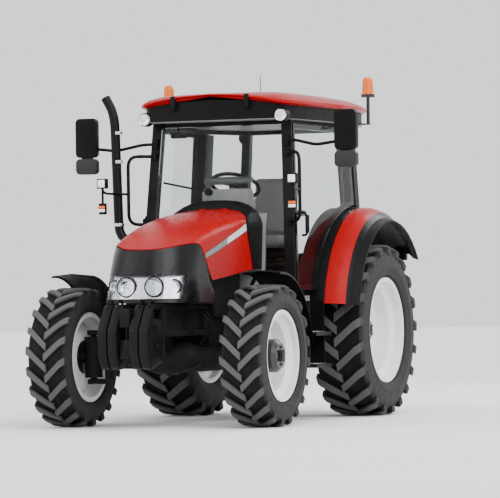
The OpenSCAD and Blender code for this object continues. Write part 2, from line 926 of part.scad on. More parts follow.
// Clutch housing, gearbox and rear axle case with the lift housing on it
module gearbox() {
  front = engine_rear_x - seat_gap;
  color(iron) {
    rotate([90, 0, 0]) linear_extrude(2 * gear_half_y, center = true)
      polygon([[axle_case_x - over, gear_low_z + chamfer],
          [engine_rear_x - 4 * chamfer, gear_low_z + chamfer], [front, engine_low_z],
        [front, gear_top_z + chamfer], [engine_rear_x - 4 * chamfer, gear_top_z],
            [axle_case_x - over, gear_top_z]]);
    block([-axle_case_x, -axle_case_half_y, axle_case_low_z],
        [axle_case_x, axle_case_half_y, axle_case_top_z]);
    block([-axle_case_x, -axle_case_half_y + chamfer, axle_case_top_z - over],
        [lift_case_front_x, axle_case_half_y - chamfer, lift_case_top_z]);
    translate([-axle_case_x - pto_boss_t, 0, pto_z]) rotate([0, 90, 0])
        cylinder(r = pto_boss_r, h = pto_boss_t + over);
    translate([-axle_case_x - pto_boss_t - pto_l, 0, pto_z]) rotate([0, 90, 0])
        cylinder(d = pto_d, h = pto_l + pto_boss_t);
    both_sides() cross_pin([link_x, axle_case_half_y + (pivot_y + link_t - axle_case_half_y) / 2 - over,
        link_z], link_pin_r,
      pivot_y + link_t - axle_case_half_y + 2 * over);
    for (s = [-1, 1])
      block([-axle_case_x + top_bracket_x, s * (top_bracket_gap + top_bracket_t) / 2 - top_bracket_t / 2,
          top_z - top_bracket_h / 2],
        [over - axle_case_x, s * (top_bracket_gap + top_bracket_t) / 2 + top_bracket_t / 2,
            top_z + top_bracket_h / 2]);
    cross_pin([-axle_case_x + top_bracket_x / 2, 0, top_z], top_pin_r, top_bracket_gap + top_bracket_t);
  }
}

// Trumpet housings and the shafts that carry the rear wheels
module rear_axle() {
  start = axle_case_half_y + seat_gap;
  shaft_end = rear_y + rear_shaft_end - rear_hub_r / 2;
  color(iron) both_sides() translate([0, 0, rear_tyre_r]) rotate([-90, 0, 0]) rotate_extrude()
    polygon([[0, start], [flange_r, start], [flange_r, start + flange_t], [trumpet_r, start + flange_t],
      [trumpet_end_r, trumpet_end_y - flange_t], [trumpet_end_r, trumpet_end_y],
          [rear_shaft_r, trumpet_end_y],
      [rear_shaft_r, shaft_end], [0, shaft_end]]);
}

module drive_shaft() {
  from = wheelbase - diff_r - seat_gap;
  to = engine_rear_x - 4 * chamfer;
  color(iron) translate([0, 0, prop_z]) rotate([0, 90, 0])
    translate([0, 0, to]) rotate_extrude()
      polygon([[0, 0], [prop_guard_r, 0], [prop_guard_r, from - to - 4 * chamfer],
          [prop_r, from - to - 3 * chamfer],
        [prop_r, from - to], [0, from - to]]);
}

// Suitcase weights in two pairs beside a tow block
module weight_plate(t) {
  rotate([90, 0, 0]) linear_extrude(t, center = true) difference() {
    offset(weight_corner_r) offset(delta = -weight_corner_r)
      polygon([[weight_rear_x, weight_low_z + weight_corner_r],
          [weight_front_x - weight_corner_r, weight_low_z],
        [weight_front_x, weight_low_z + 2 * weight_corner_r],
            [weight_front_x, weight_top_z - 3 * weight_corner_r],
        [weight_front_x - 2 * weight_corner_r, weight_top_z], [weight_rear_x, weight_top_z]]);
    translate([(weight_rear_x + weight_front_x) / 2 - weight_corner_r,
        weight_top_z - 2 * weight_handle_r])
      offset(weight_handle_r / 2) square([3 * weight_handle_r, weight_handle_r], center = true);
  }
}

module front_weights() {
  first = weight_block_t / 2 + weight_gap + weight_t / 2;
  color(black) {
    for (s = [-1, 1], k = [0, 1])
      translate([0, s * (first + k * (weight_t + weight_gap)), 0]) weight_plate(weight_t);
    difference() {
      block([weight_rear_x, -weight_block_t / 2, tow_jaw_z - 2 * tow_jaw_h],
          [weight_front_x - tow_jaw_reach, weight_block_t / 2, tow_jaw_z + 2 * tow_jaw_h]);
      block([weight_front_x - 3 * tow_jaw_reach, -weight_block_t, tow_jaw_z - tow_jaw_h / 2],
          [weight_front_x, weight_block_t, tow_jaw_z + tow_jaw_h / 2]);
    }
    block([weight_rear_x, -first - 1.5 * weight_t - weight_gap, weight_low_z + weight_corner_r * 2],
      [weight_rear_x + weight_corner_r, first + 1.5 * weight_t + weight_gap,
          weight_low_z + weight_corner_r * 3]);
    post([weight_front_x - 2 * tow_jaw_reach, 0, tow_jaw_z], tow_pin_r, tow_pin_h);
  }
}

// Hood surface: a place for each line across it and each share along it
function hood_span(x) = (x - hood_rear_x) / hood_l;
function hood_top(x) = mix(hood_front_z, hood_rear_z, lookup(hood_span(x), hood_top_shares));
function hood_half(x) = hood_half_w * lookup(hood_span(x), hood_width_shares);
function hood_shoulder(x) = mix(shoulder_rear_z, shoulder_front_z, pow(max(hood_span(x), 0), 1.7));
function hood_edge(x) = mix(hood_rear_side_z, hood_front_side_z,
    min(1, max(0, (hood_span(x) - hood_tail_shares[0]) / (hood_tip_shares[0] - hood_tail_shares[0]))));
function hood_rise(i, x) = i < 3 ? mix(hood_edge(x), hood_shoulder(x), hood_side_shares[i])
    : mix(hood_shoulder(x), hood_top(x), hood_rise_shares[i - 3]);
function hood_point(i, x) = [x, hood_half(x) * hood_y_shares[i], hood_rise(i, x)];
function flip(p) = [p[0], -p[1], p[2]];
function whole(half) = concat(half, [for (k = [last(half) - 1:-1:0]) flip(half[k])]);
function hood_tail_x(i) = hood_rear_x + hood_l * hood_tail_shares[i];
function hood_tip_x(i) = hood_rear_x + hood_l * hood_tip_shares[i];
function hood_row(t) = whole([for (i = [0:last(hood_y_shares)])
    hood_point(i, mix(hood_tail_x(i), hood_tip_x(i), t))]);
hood_grid = [for (k = [0:hood_steps]) hood_row(k / hood_steps)];
hinge_place = [hood_rear_x - hinge_back, 0, hood_rear_z - hinge_drop];

module hood_shell() {
  color(red) {
    difference() {
      union() {
        sheet(hood_grid, 0, hood_wall);
        both_sides() {
          cross_pin(hinge_place + [0, hinge_y, 0], hinge_eye_r, hinge_w);
          block(hinge_place + [0, hinge_y - hinge_w / 2, -hinge_eye_r],
              hinge_place + [2 * hinge_back, hinge_y + hinge_w / 2, -hinge_eye_r / 3]);
        }
      }
      both_sides() cross_pin(hinge_place + [0, hinge_y, 0], hinge_r + run_gap, hinge_w + 2 * over);
    }
  }
}

// Nose: from the hood's front edge down to a rounded lower edge
function nose_point(i) = [hood_front_x + nose_x_shares[i] * hood_l, hood_half_w * nose_y_shares[i],
    nose_low_z];
function nose_drop(i) = seat_gap + seam_share * hood_wall * abs(grid_normal(hood_grid, hood_steps, i)[2]);
function nose_top(i) =
  let (p = hood_point(i, hood_tip_x(i)))
  p + [seam_gap, 0, 0] + nose_drop(i) * unit(nose_point(i) - p);
function nose_spot(i, t) =
  let (a = nose_top(i), b = nose_point(i), s = mix(t, pow(t, nose_bulge_share), i / last(nose_y_shares)))
  [mix(a[0], b[0], s), mix(a[1], b[1], s), mix(a[2], b[2], t)];
function nose_row(t) = whole([for (i = [0:last(nose_y_shares)]) nose_spot(i, t)]);
nose_grid = [for (k = [0:nose_steps]) nose_row(k / nose_steps)];

module lamp_window(grow) {
  block([hood_front_x - lamp_half_w, -lamp_half_w - grow, lamp_low_z - grow],
      [hood_front_x + lamp_half_w, lamp_half_w + grow, lamp_top_z + grow]);
}

module hood_nose() {
  color(black) difference() {
    sheet(nose_grid, 0, hood_wall);
    lamp_window(0);
  }
}

module headlamps() {
  color(lens) both_sides() {
    intersection() {
      sheet(nose_grid, lens_in, hood_wall - lens_in);
      block([hood_front_x - lamp_half_w, seat_gap / 2, lamp_low_z + seat_gap],
          [hood_front_x + lamp_half_w, lamp_half_w - seat_gap, lamp_top_z - seat_gap]);
    }
  }
}

// Cowl: a raised arch from the hood's rear edge to the cab's front
function front_plane_x(z) = front_x0 - z * tan(front_lean);
function side_plane_y(x, z) = side_y + x * tan(side_turn) - z * tan(side_lean) / cos(side_turn);
function corner(z) = let (x = front_plane_x(z)) [x, side_plane_y(x, z), z];
function cowl_lift(i, t) = cowl_rise * hood_y_lift(i) * min(1,
    max(0, t - cowl_flat_share) / cowl_climb_share);
function hood_y_lift(i) = 1 - pow(hood_y_shares[i], 4);
function cowl_point(i, t) =
  let (p = hood_point(i, hood_tail_x(i)), z = p[2] + cowl_lift(i, t))
  [mix(p[0] - cowl_gap, front_plane_x(z - cowl_wall), t), p[1], z];
function cowl_row(t) = whole([for (i = [0:last(hood_y_shares)]) cowl_point(i, t)]);
cowl_grid = [for (t = [1, 0.5, 0.25, 0.1, 0]) cowl_row(t)];

module cowl() {
  color(black) {
    sheet(cowl_grid, 0, cowl_wall);
    both_sides() {
      cross_pin(hinge_place + [0, hinge_y, 0], hinge_r, hinge_w + 2 * hinge_lug_w);
      for (s = [-1, 1])
        translate(hinge_place + [0, hinge_y + s * (hinge_w + shut_gap / 4 + hinge_lug_w) / 2, 0])
          block([-cowl_gap, -hinge_lug_w / 2, -hinge_eye_r], [hinge_lug_r, hinge_lug_w / 2, hinge_lug_r]);
    }
  }
}

module exhaust() {
  out_y = -hood_half_w - seat_gap;
  top = [exhaust_x, exhaust_y - exhaust_lean, exhaust_top_z - spout_reach];
  path = bend([[exhaust_x, out_y, exhaust_low_z], [exhaust_x, exhaust_y, exhaust_low_z], top,
    top + [0, -spout_reach / 2, spout_reach - exhaust_r / 2]], exhaust_bend);
  mouth = path[last(path)];
  dir = unit(mouth - path[last(path) - 1]);
  color(black) {
    difference() {
      bar(path, exhaust_r, [1, 0, 0]);
      bar([mouth - dir * spout_reach / 2, mouth + dir * over], exhaust_r - exhaust_wall, [1, 0, 0]);
    }
    translate([exhaust_x, out_y, exhaust_low_z]) rotate([90, 0, 0])
        cylinder(r = exhaust_r * 1.4, h = foot_t);
  }
}

module side_tank() {
  soft_block([tank_x0, tank_y0, tank_low_z], [tank_x1, tank_y1, tank_top_z], tank_round);
  block([tank_x0 + tank_round, gear_half_y + seat_gap, tank_top_z - chamfer],
      [tank_x1 - tank_round, tank_y0 + tank_round, tank_top_z]);
}

// Fuel tank on the left and battery box on the right
module side_tanks() {
  color(black) both_sides() side_tank();
}

// Hanging steps on both sides
module cab_steps() {
  color(iron) both_sides() {
    for (x = [step_x0, step_x1 - step_side_t])
      block([x, step_y0, step_z], [x + step_side_t, step_y1 - 2 * step_t, floor_z - floor_t - seat_gap]);
    for (z = [step_z, step_mid_z])
      block([step_x0, step_y0, z], [step_x1, step_y1, z + step_t]);
  }
}

// Side of the cab: X along it, Y up it, Z inward from its outer skin
module on_side() {
  translate([0, side_y, 0]) rotate([0, 0, side_turn]) rotate([90 + side_lean, 0, 0]) children();
}
function side_uv(x, z) = let (v = z / cos(side_lean)) [(x - v * sin(side_lean) * sin(side_turn)) / cos(side_turn), v];

// Front of the cab: X to the left, Y up it, Z forward from its outer skin
module on_front() {
  translate([front_x0, 0, 0]) rotate([0, -front_lean, 0]) rotate([90, 0, 90]) children();
}
function front_uv(y, z) = [y, z / cos(front_lean)];

// Floor, seat deck, front wall and rear wall of the cab
module cab_floor() {
  edge = house_y - fender_wall - seat_gap;
  floor_front = front_plane_x(floor_z) - fire_t - seat_gap;
  wide_x = arc_x + fender_r + 2 * fender_wall;
  side = corner(floor_z)[1] - post_in;
  color(grey) {
    block([seat_deck_x - floor_t, -edge, floor_z - floor_t], [floor_front, edge, floor_z]);
    block([wide_x, -side, floor_z - floor_t], [floor_front, side, floor_z]);
    block([seat_deck_x - floor_t, -edge, floor_z - over], [seat_deck_x, edge, seat_deck_z - over]);
    block([quarter_x, -edge, seat_deck_z - floor_t], [seat_deck_x, edge, seat_deck_z]);
    block([quarter_x, -edge, seat_deck_z - over], [quarter_x + floor_t / 2, edge, rear_sill_z]);
    on_front() translate([0, 0, -fire_t - seat_gap]) linear_extrude(fire_t)
      polygon([front_uv(-fire_half_y, floor_z - floor_t), front_uv(fire_half_y, floor_z - floor_t),
        front_uv(fire_half_y, fire_top_z), front_uv(-fire_half_y, fire_top_z)]);
    both_sides() {
      block([wide_x, side - over, floor_z - floor_t],
          [floor_front - post_deep, side + post_in / 2, floor_z]);
      for (x = [cab_foot_x0, cab_foot_x1])
        block([x - cab_foot_r, cab_foot_y - cab_foot_r, gear_top_z + seat_gap],
            [x + cab_foot_r, cab_foot_y + cab_foot_r, floor_z - floor_t + over]);
      block([-axle_case_x + cab_foot_r, cab_foot_y - cab_foot_r, lift_case_top_z + seat_gap],
        [-axle_case_x + 3 * cab_foot_r, cab_foot_y + cab_foot_r, seat_deck_z - floor_t + over]);
    }
  }
}

// Wheel houses: an inner wall and the strip under the door on each side
module wheel_houses() {
  color(black) both_sides() {
    translate([0, house_y, 0]) rotate([90, 0, 0]) linear_extrude(fender_wall) intersection() {
      translate([arc_x, arc_z]) circle(fender_r - fender_wall / 2);
      translate([quarter_x, house_low_z]) square([2 * fender_r, 2 * fender_r]);
    }
    translate([arc_x, 0, arc_z]) rotate([-90, 0, 0]) rotate([0, 0, -house_to])
        rotate_extrude(angle = house_to - house_from)
      polygon([[fender_r - fender_wall, house_y - fender_wall], [fender_r, house_y - fender_wall],
          [fender_r, strip_y], [fender_r - fender_wall, strip_y]]);
  }
}

// Four corners of an upright post at one height
function plan(x0, x1, y0, y1, z) = [[x0, y0, z], [x1, y0, z], [x1, y1, z], [x0, y1, z]];
function corner_lip(z) = let (c = corner(z))
    plan(c[0] - post_lip, c[0] - post_skin, c[1] - post_w, c[1] - post_skin, z);
function corner_core(z) = let (c = corner(z))
    plan(c[0] - post_deep, c[0] - post_lip, c[1] - post_w, c[1] - post_in, z);
function post_b(z) = let (x0 = post_b_x - post_b_half, x1 = post_b_x + post_b_half)
  plan(x0, x1, side_plane_y(x1, z) - post_w, side_plane_y(x1, z) - post_skin, z);
function quarter_y(z) = side_plane_y(0, z) - quarter_in;
function post_c(z) = plan(quarter_x - post_c_half, quarter_x + post_c_half, quarter_y(z) - post_c_half,
    quarter_y(z) + post_c_half, z);

// Rail between two posts at the top of the cab
module rail(a, b, half) {
  top = post_top_z;
  low = post_top_z - rail_h;
  d = unit([b[0] - a[0], b[1] - a[1], 0]);
  s = [-d[1], d[0], 0] * half;
  skin([for (p = [a, b]) [[p[0], p[1], low] - s, [p[0], p[1], low] + s, [p[0], p[1], top] + s,
      [p[0], p[1], top] - s]]);
}

module cab_frame() {
  z = post_top_z;
  b_low = arc_z + fender_r + seat_gap;
  a = [(corner_core(z)[0] + corner_core(z)[2]) / 2][0];
  b = [post_b_x, side_plane_y(post_b_x, z) - rail_in, z];
  c = [(post_c(z)[0] + post_c(z)[2]) / 2][0];
  color(black) {
    both_sides() {
      skin([corner_lip(floor_z + seat_gap), corner_lip(z)]);
      skin([corner_core(floor_z + seat_gap), corner_core(z)]);
      skin([post_b(b_low), post_b(z)]);
      skin([post_c(rear_sill_z + seat_gap), post_c(z)]);
      rail(a, b, rail_h / 2);
      rail(b, c, rail_h / 2);
      on_side() for (v = [door_low_pin_z, door_top_pin_z]) translate([door_axis_u, v, door_axis_in])
          rotate([-90, 0, 0]) {
        translate([0, 0, -door_eye_h / 2 - door_eye_r])
            cylinder(r = door_pin_r, h = door_eye_h + 2 * door_eye_r);
        for (s = [-1, 1]) translate([0, 0, s * (door_eye_h + door_eye_r + shut_gap / 4) / 2])
          block([-door_axis_back - door_eye_r, -door_lug_r, -door_eye_r / 2],
              [door_lug_r, door_lug_r, door_eye_r / 2]);
      }
    }
    rail(a, flip(a), rail_h / 2);
    rail(c, flip(c), rail_h / 2);
  }
}

// Roof outline, as a ring at one scale and one height
roof_mid_x = (roof_front_x + roof_rear_x) / 2;
function roof_half(s) = [for (i = [0:last(roof_x_shares)])
  [roof_mid_x + s * (mix(roof_rear_x, roof_front_x, roof_x_shares[i]) - roof_mid_x),
      s * roof_wide_half * roof_y_shares[i]]];
function roof_plan(s) = let (h = roof_half(s))
    concat(h, [for (i = [last(h) - 1:-1:1]) [h[i][0], -h[i][1]]]);
function roof_lift(p) = roof_arch * pow(max(0, (p[0] - roof_mid_x) / (roof_front_x - roof_mid_x)), 2)
  * max(0, 1 - pow(p[1] / roof_arch_half, 2));
function roof_ring(s, low,
    share) = [for (p = roof_plan(s)) [p[0], p[1], mix(low + roof_lift(p), roof_top_z, share)]];
lining_low_z = post_top_z + seat_gap;
lining_top_z = lining_low_z + lining_h;
roof_edge_z = lining_top_z + seat_gap;
work_lamp_z = lining_low_z + work_lamp_r / 2;

module roof_lining() {
  plan = roof_plan(lining_share);
  color(black) difference() {
    skin([[for (p = plan) [p[0], p[1], lining_low_z]],
      [for (p = plan) [p[0], p[1], lining_top_z + lining_lift_share * roof_lift(p)]]]);
    both_sides() translate([work_lamp_x - work_lamp_t / 2, work_lamp_y, work_lamp_z]) rotate([0, 90, 0])
      cylinder(r = work_lamp_r + seat_gap, h = 2 * work_lamp_t);
  }
}

module roof_cap() {
  color(red) skin([for (k = [0:last(roof_ring_shares)])
      roof_ring(roof_ring_shares[k], roof_edge_z, roof_rise_shares[k])]);
  color(black) translate([aerial_x, 0, roof_top_z - fender_wall]) cylinder(r = aerial_r, h = aerial_h);
}

// Quarter pane's outline, lying on the wheel house, moved inward by a depth
function quarter_at(t, z, deep) =
  let (x = mix(post_b_x - post_b_half - seat_gap, quarter_x + post_c_half + seat_gap + glass_t, t))
  [x, mix(side_plane_y(0, z) - post_w / 2, quarter_y(z) + glass_t, t) - deep, z];
function house_top(x) = arc_z + sqrt(fender_r * fender_r - (x - arc_x) * (x - arc_x)) + over / 2;
function quarter_ring(deep, top) = concat([quarter_at(0, top, deep)],
  [for (k = [0:bend_steps]) let (t = k / bend_steps)
      quarter_at(t, house_top(quarter_at(t, top, deep)[0]), deep)],
  [quarter_at(1, top, deep)]);

// Panes: windscreen, lower front panes, quarter panes and rear window

module cab_glass() {
  low = fire_top_z + seat_gap;
  top = post_top_z - rail_h - seat_gap;
  function half_y(z) = corner(z)[1] - post_w - seat_gap;
  color(glass) {
    on_front() translate([0, 0, -glass_t - seat_gap]) linear_extrude(glass_t) {
      polygon([front_uv(-half_y(low), low), front_uv(half_y(low), low), front_uv(half_y(top), top),
          front_uv(-half_y(top), top)]);
      for (s = [-1, 1])
        polygon([front_uv(s * (fire_half_y + seat_gap), floor_z + seat_gap),
            front_uv(s * half_y(floor_z), floor_z + seat_gap),
          front_uv(s * half_y(low), low - 2 * seat_gap),
              front_uv(s * (fire_half_y + seat_gap), low - 2 * seat_gap)]);
    }
    both_sides() skin([quarter_ring(0, top), quarter_ring(glass_t, top)]);
    block([quarter_x - glass_t / 2, -quarter_y(top) + post_c_half + glass_t, rear_sill_z + seat_gap],
      [quarter_x + glass_t / 2, quarter_y(top) - post_c_half - glass_t, top]);
  }
}

// Rear fender: a turned band that falls away outward
function fender_edge(k) = [fender_r * (1 - fender_drop_shares[k]),
    strip_y + seat_gap + fender_w * fender_y_shares[k]];

module fender() {
  outer = [for (k = [0:last(fender_y_shares)]) fender_edge(k)];
  inner = [for (k = [last(fender_y_shares):-1:0]) fender_edge(k) - [fender_wall, 0]];
  translate([arc_x, 0, arc_z]) rotate([-90, 0, 0]) rotate([0, 0, -fender_to])
      rotate_extrude(angle = fender_to - fender_from)
    polygon(concat(outer, inner));
}

module rear_fenders() {
  color(red) both_sides() fender();
}

module fender_flares() {
  p = fender_edge(last(fender_y_shares)) + [0, seat_gap];
  color(black) both_sides() translate([arc_x, 0, arc_z]) rotate([-90, 0, 0]) rotate([0, 0, -fender_to])
      rotate_extrude(angle = fender_to - fender_from)
    polygon([p, p + [-flare_drop, flare_w], p + [-flare_drop - 2 * fender_wall, flare_w],
        p + [-2 * fender_wall, 0]]);
}

// Dash on its column, with the shaft that carries the steering wheel
module on_column() {
  translate([steer_x, 0, steer_z]) rotate([0, -steer_lean, 0]) children();
}

module dash() {
  color(grey) {
    skin([plan(dash_x - dash_low_deep, dash_x, -dash_half_y / 2, dash_half_y / 2, floor_z + seat_gap),
      plan(dash_x - dash_low_deep, dash_x, -dash_half_y / 2, dash_half_y / 2,
          mix(floor_z, dash_top_z, 0.62)),
      plan(dash_x - dash_deep, dash_x, -dash_half_y, dash_half_y, mix(floor_z, dash_top_z, 0.85)),
      plan(dash_x - dash_deep / 2, dash_x, -dash_half_y, dash_half_y, dash_top_z)]);
    on_column() translate([0, 0, -steer_r * 1.4])
        cylinder(r = steer_shaft_r, h = steer_r * 1.4 + steer_hub_h / 4);
    on_column() translate([0, 0, -steer_r * 1.4]) cylinder(r = column_r, h = steer_r * 1.4 - steer_hub_h);
  }
}

module steering_wheel() {
  color(black) on_column() difference() {
    union() {
      rotate_extrude() translate([steer_r - steer_bar_r, 0]) circle(steer_bar_r);
      translate([0, 0, -steer_hub_h / 2]) cylinder(r = steer_hub_r, h = steer_hub_h);
      for (k = [0:2]) rotate([0, 0, 60 + 120 * k])
        translate([steer_hub_r / 2, -steer_bar_r, -steer_bar_r / 2])
            cube([steer_r - steer_hub_r / 2 - steer_bar_r, 2 * steer_bar_r, steer_bar_r]);
    }
    translate([0, 0, -steer_hub_h])
        cylinder(r = steer_shaft_r + run_gap, h = steer_hub_h * 1.25 + shut_gap);
  }
}

// Seat on its suspension box
module seat() {
  color(black) {
    block([seat_x + seat_l / 2 - suspension_half, -suspension_half, seat_deck_z + seat_gap],
        [seat_x + seat_l / 2 + suspension_half, suspension_half, seat_z + over]);
    soft_block([seat_x, -seat_w / 2, seat_z], [seat_x + seat_l, seat_w / 2, seat_z + seat_t], seat_round);
    translate([seat_x, 0, seat_z]) rotate([0, -10, 0]) translate([-seat_back_t / 2, 0, seat_t / 2])
        rotate([90, 0, 90])
      linear_extrude(seat_back_t) offset(seat_round) translate([-seat_w / 2 + 1.5 * seat_round, 0])
          square([seat_w - 3 * seat_round, seat_back_h - seat_round]);
  }
}

// Right-hand console with its levers
module side_console() {
  y0 = -house_y + fender_wall + seat_gap;
  color(grey) block([console_x0, y0, seat_deck_z + seat_gap],
      [seat_deck_x - floor_t, y0 + console_w, console_z]);
  color(grey) block([seat_deck_x - floor_t - over, y0, console_z - 2 * console_w],
      [console_x1, y0 + console_w, console_z]);
  color(black) for (k = [0:3])
      let (p = [console_x1 - console_w * (k + 1) / 2, y0 + console_w / 2, console_z - over]) {
    translate(p) cylinder(r = lever_r, h = lever_h);
    translate(p + [0, 0, lever_h]) sphere(knob_r);
  }
}

// Mirrors on bent arms from the front posts
module mirror_head(w, h, t) {
  rotate([90, 0, 90]) linear_extrude(t, center = true) offset(mirror_round)
      square([w - 2 * mirror_round, h - 2 * mirror_round], center = true);
}

module mirrors() {
  c = corner(mirror_z);
  start = [c[0] + seat_gap + mirror_arm_r, c[1] - post_w / 2, mirror_z];
  gap = mirror_low_h + mirror_round / 2;
  color(black) both_sides() {
    bar(bend([start, start + [mirror_arm_r * 3, post_w, 0],
        [mirror_x, (c[1] + mirror_y) / 2, mirror_z - mirror_sag],
      [mirror_x, mirror_y - mirror_w / 3, mirror_z - mirror_sag / 2]], mirror_sag), mirror_arm_r);
    translate([mirror_x, mirror_y, mirror_z]) {
      translate([0, 0, mirror_low_h / 2]) mirror_head(mirror_w, mirror_h, mirror_t);
      translate([0, 0, -(mirror_h + mirror_round / 2) / 2]) mirror_head(mirror_w, mirror_low_h, mirror_t);
      block([-mirror_t / 4, -mirror_w / 4, -mirror_h / 2], [mirror_t / 4, mirror_w / 4, 0]);
    }
    translate([c[0], c[1] - post_w / 2, mirror_z]) rotate([0, -front_lean, 0])
      block([-post_skin + seat_gap, -post_w / 4, -post_w / 2],
          [2 * mirror_arm_r, post_w / 4, post_w / 2]);
  }
}

// Roof work lamps, and the small lamps and indicators on their stalks
module cab_lamps() {
  low = lining_low_z - seat_gap;
  color(lens) both_sides() {
    translate([work_lamp_x - work_lamp_t / 2 + seat_gap, work_lamp_y, work_lamp_z]) rotate([0, 90, 0])
        cylinder(r = work_lamp_r, h = work_lamp_t);
    translate([quarter_x - post_c_half - work_lamp_t - seat_gap, rear_lamp_y, low - work_lamp_r])
        rotate([0, 90, 0]) cylinder(r = work_lamp_r, h = work_lamp_t);
  }
  color(black) both_sides() {
    c = corner(rail_low_z);
    d = corner(rail_top_z);
    root = [c[0] - post_skin + seat_gap + rail_r, c[1] - post_w / 2, rail_low_z];
    crown = [d[0] - post_skin + seat_gap + rail_r, d[1] - post_w / 2, rail_top_z];
    for (p = [c, d]) translate([p[0], p[1] - post_w / 2, p[2]]) rotate([0, -front_lean, 0])
      block([seat_gap - post_skin, -post_w / 4, -post_w / 3], [2 * rail_r, post_w / 4, post_w / 3]);
    bar(bend([root, root + [rail_x - root[0], rail_y - root[1], 0], [rail_x, rail_y, rail_top_z], crown],
        post_w), rail_r, [1, 1, 0]);
    bar(bend([[rail_x, rail_y, small_lamp_z - small_lamp_size],
        [small_lamp_x, small_lamp_y, small_lamp_z - small_lamp_size],
        [small_lamp_x, small_lamp_y, small_lamp_z]], small_lamp_size), stalk_r, [0, 1, 0]);
    bar([[small_lamp_x, small_lamp_y, small_lamp_z - small_lamp_size / 2],
        [small_lamp_x, small_lamp_y, small_lamp_z - indicator_drop]], stalk_r, [0, 1, 0]);
    translate([small_lamp_x, small_lamp_y, small_lamp_z])
        cube([small_lamp_t, small_lamp_size, small_lamp_size], center = true);
    translate([small_lamp_x, small_lamp_y, small_lamp_z - indicator_drop])
        cube([small_lamp_t, indicator_w, indicator_h], center = true);
  }
}

module beacons() {
  color(amber) both_sides() {
    p = [beacon_x, beacon_y, 0];
    y0 = roof_wide_half * lining_share - 2 * post_skin;
    translate(p + [0, 0, beacon_base_z]) rotate_extrude()
      polygon([[0, 0], [beacon_r, 0], [beacon_r, beacon_h / 6], [beacon_r * 0.85, beacon_h / 5],
          [beacon_r * 0.7, beacon_h * 0.9], [beacon_r * 0.5, beacon_h], [0, beacon_h]]);
    translate(p + [0, 0, lining_low_z])
        cylinder(r = stalk_r * 1.5, h = beacon_base_z - lining_low_z + over);
    block([beacon_x - 2 * beacon_plate, roof_wide_half * lining_share * beacon_share - seat_gap,
        lining_low_z - beacon_plate - seat_gap],
      [beacon_x + 2 * beacon_plate, beacon_y + beacon_plate, lining_low_z - seat_gap]);
    translate(p + [0, 0, lining_low_z - beacon_plate]) cylinder(r = stalk_r * 1.5, h = 2 * beacon_plate);
  }
}

// Doors: glass outside a frame, hinged on the rear post
door_axis_u = side_uv(door_rear_x, door_low_pin_z)[0] - door_axis_back;

module door_shape() {
  front = function (z) corner(z)[0] - door_front_gap;
  difference() {
    polygon([side_uv(front(sill_z), sill_z), side_uv(front(door_top_z), door_top_z),
        side_uv(door_rear_x, door_top_z), side_uv(door_rear_x, sill_z)]);
    translate(side_uv(arc_x, arc_z)) circle(fender_r + door_arc_gap, $fn = 96);
  }
}

module door_frame() {
  p = side_uv(handle_x, handle_z);
  depth = glass_t + seat_gap;
  on_side() {
    translate([0, 0, depth]) linear_extrude(door_t - depth) difference() {
      door_shape();
      offset(delta = -frame_w) door_shape();
    }
    for (v = [door_low_pin_z, door_top_pin_z]) translate([door_axis_u, v, door_axis_in]) difference() {
      union() {
        rotate([-90, 0, 0]) cylinder(r = door_eye_r, h = door_eye_h, center = true);
        block([0, -door_eye_h / 2, -door_eye_r / 2],
            [door_axis_back + frame_w / 2, door_eye_h / 2, door_eye_r / 2]);
      }
      rotate([-90, 0, 0]) cylinder(r = door_pin_r + run_gap, h = door_eye_h + 2 * over, center = true);
    }
    bar(bend([[p[0], p[1] - handle_half, -seat_gap], [p[0], p[1] - handle_half, -handle_out],
      [p[0], p[1] + handle_half, -handle_out], [p[0], p[1] + handle_half, -seat_gap]], handle_out),
          handle_r, [1, 0, 0]);
  }
}

module door_glass() {
  on_side() linear_extrude(glass_t) door_shape();
}

module door_left_frame() {
  color(black) door_frame();
}

module door_left_glass() {
  color(glass) door_glass();
}

module door_right_frame() {
  color(black) mirror([0, 1, 0]) door_frame();
}

module door_right_glass() {
  color(glass) mirror([0, 1, 0]) door_glass();
}

// Lower links with eyes at both ends and a pin for the lift rod
module lower_link() {
  front = [link_x, pivot_y, link_z];
  splay = link_eye_y - pivot_y;
  translate(front) rotate([0, -link_turn, 0]) {
    difference() {
      union() {
        cross_pin([0, 0, 0], link_boss_r, link_t);
        cross_pin([-link_l, splay, 0], eye_r, 2 * link_t);
        skin([for (x = [-link_boss_r * 0.7, -rocker_l - link_h, -link_l + eye_r * 0.7])
          let (y = splay * smooth(-x / link_l), h = x == -rocker_l - link_h ? link_h / 2 : link_h / 3)
          [[x, y - link_t / 2, -h], [x, y + link_t / 2, -h], [x, y + link_t / 2, h],
              [x, y - link_t / 2, h]]]);
        cross_pin([-rocker_l, rod_out / 2 + link_t / 2, 0], lift_pin_r, rod_out + link_t);
      }
      cross_pin([0, 0, 0], link_pin_r + run_gap, link_t + 2 * over);
      cross_pin([-link_l, splay, 0], link_eye_d / 2, 2 * link_t + 2 * over);
    }
  }
}
function smooth(t) = min(1, max(0, t));

module lower_links() {
  color(iron) both_sides() lower_link();
}

// Lift arms on the rock shaft, parallel to the lower links
module lift_arms() {
  tip = [-rocker_l, 0, 0];
  color(iron) translate([rock_x, 0, rock_z]) rotate([0, -link_turn, 0]) {
    both_sides() {
      translate([0, rock_half_y, 0]) rotate([90, 0, 0]) linear_extrude(lift_arm_t, center = true) hull() {
        circle(lift_arm_h / 2);
        translate([-rocker_l, 0]) circle(lift_boss_r);
      }
      cross_pin(tip + [0, (rock_half_y + rod_y) / 2, 0], lift_pin_r, rod_y - rock_half_y + lift_arm_t);
      cross_pin([0, rock_half_y - (rock_half_y - axle_case_half_y) / 2 + over, 0], rock_r,
          rock_half_y - axle_case_half_y - 2 * seat_gap + 2 * over);
    }
  }
}

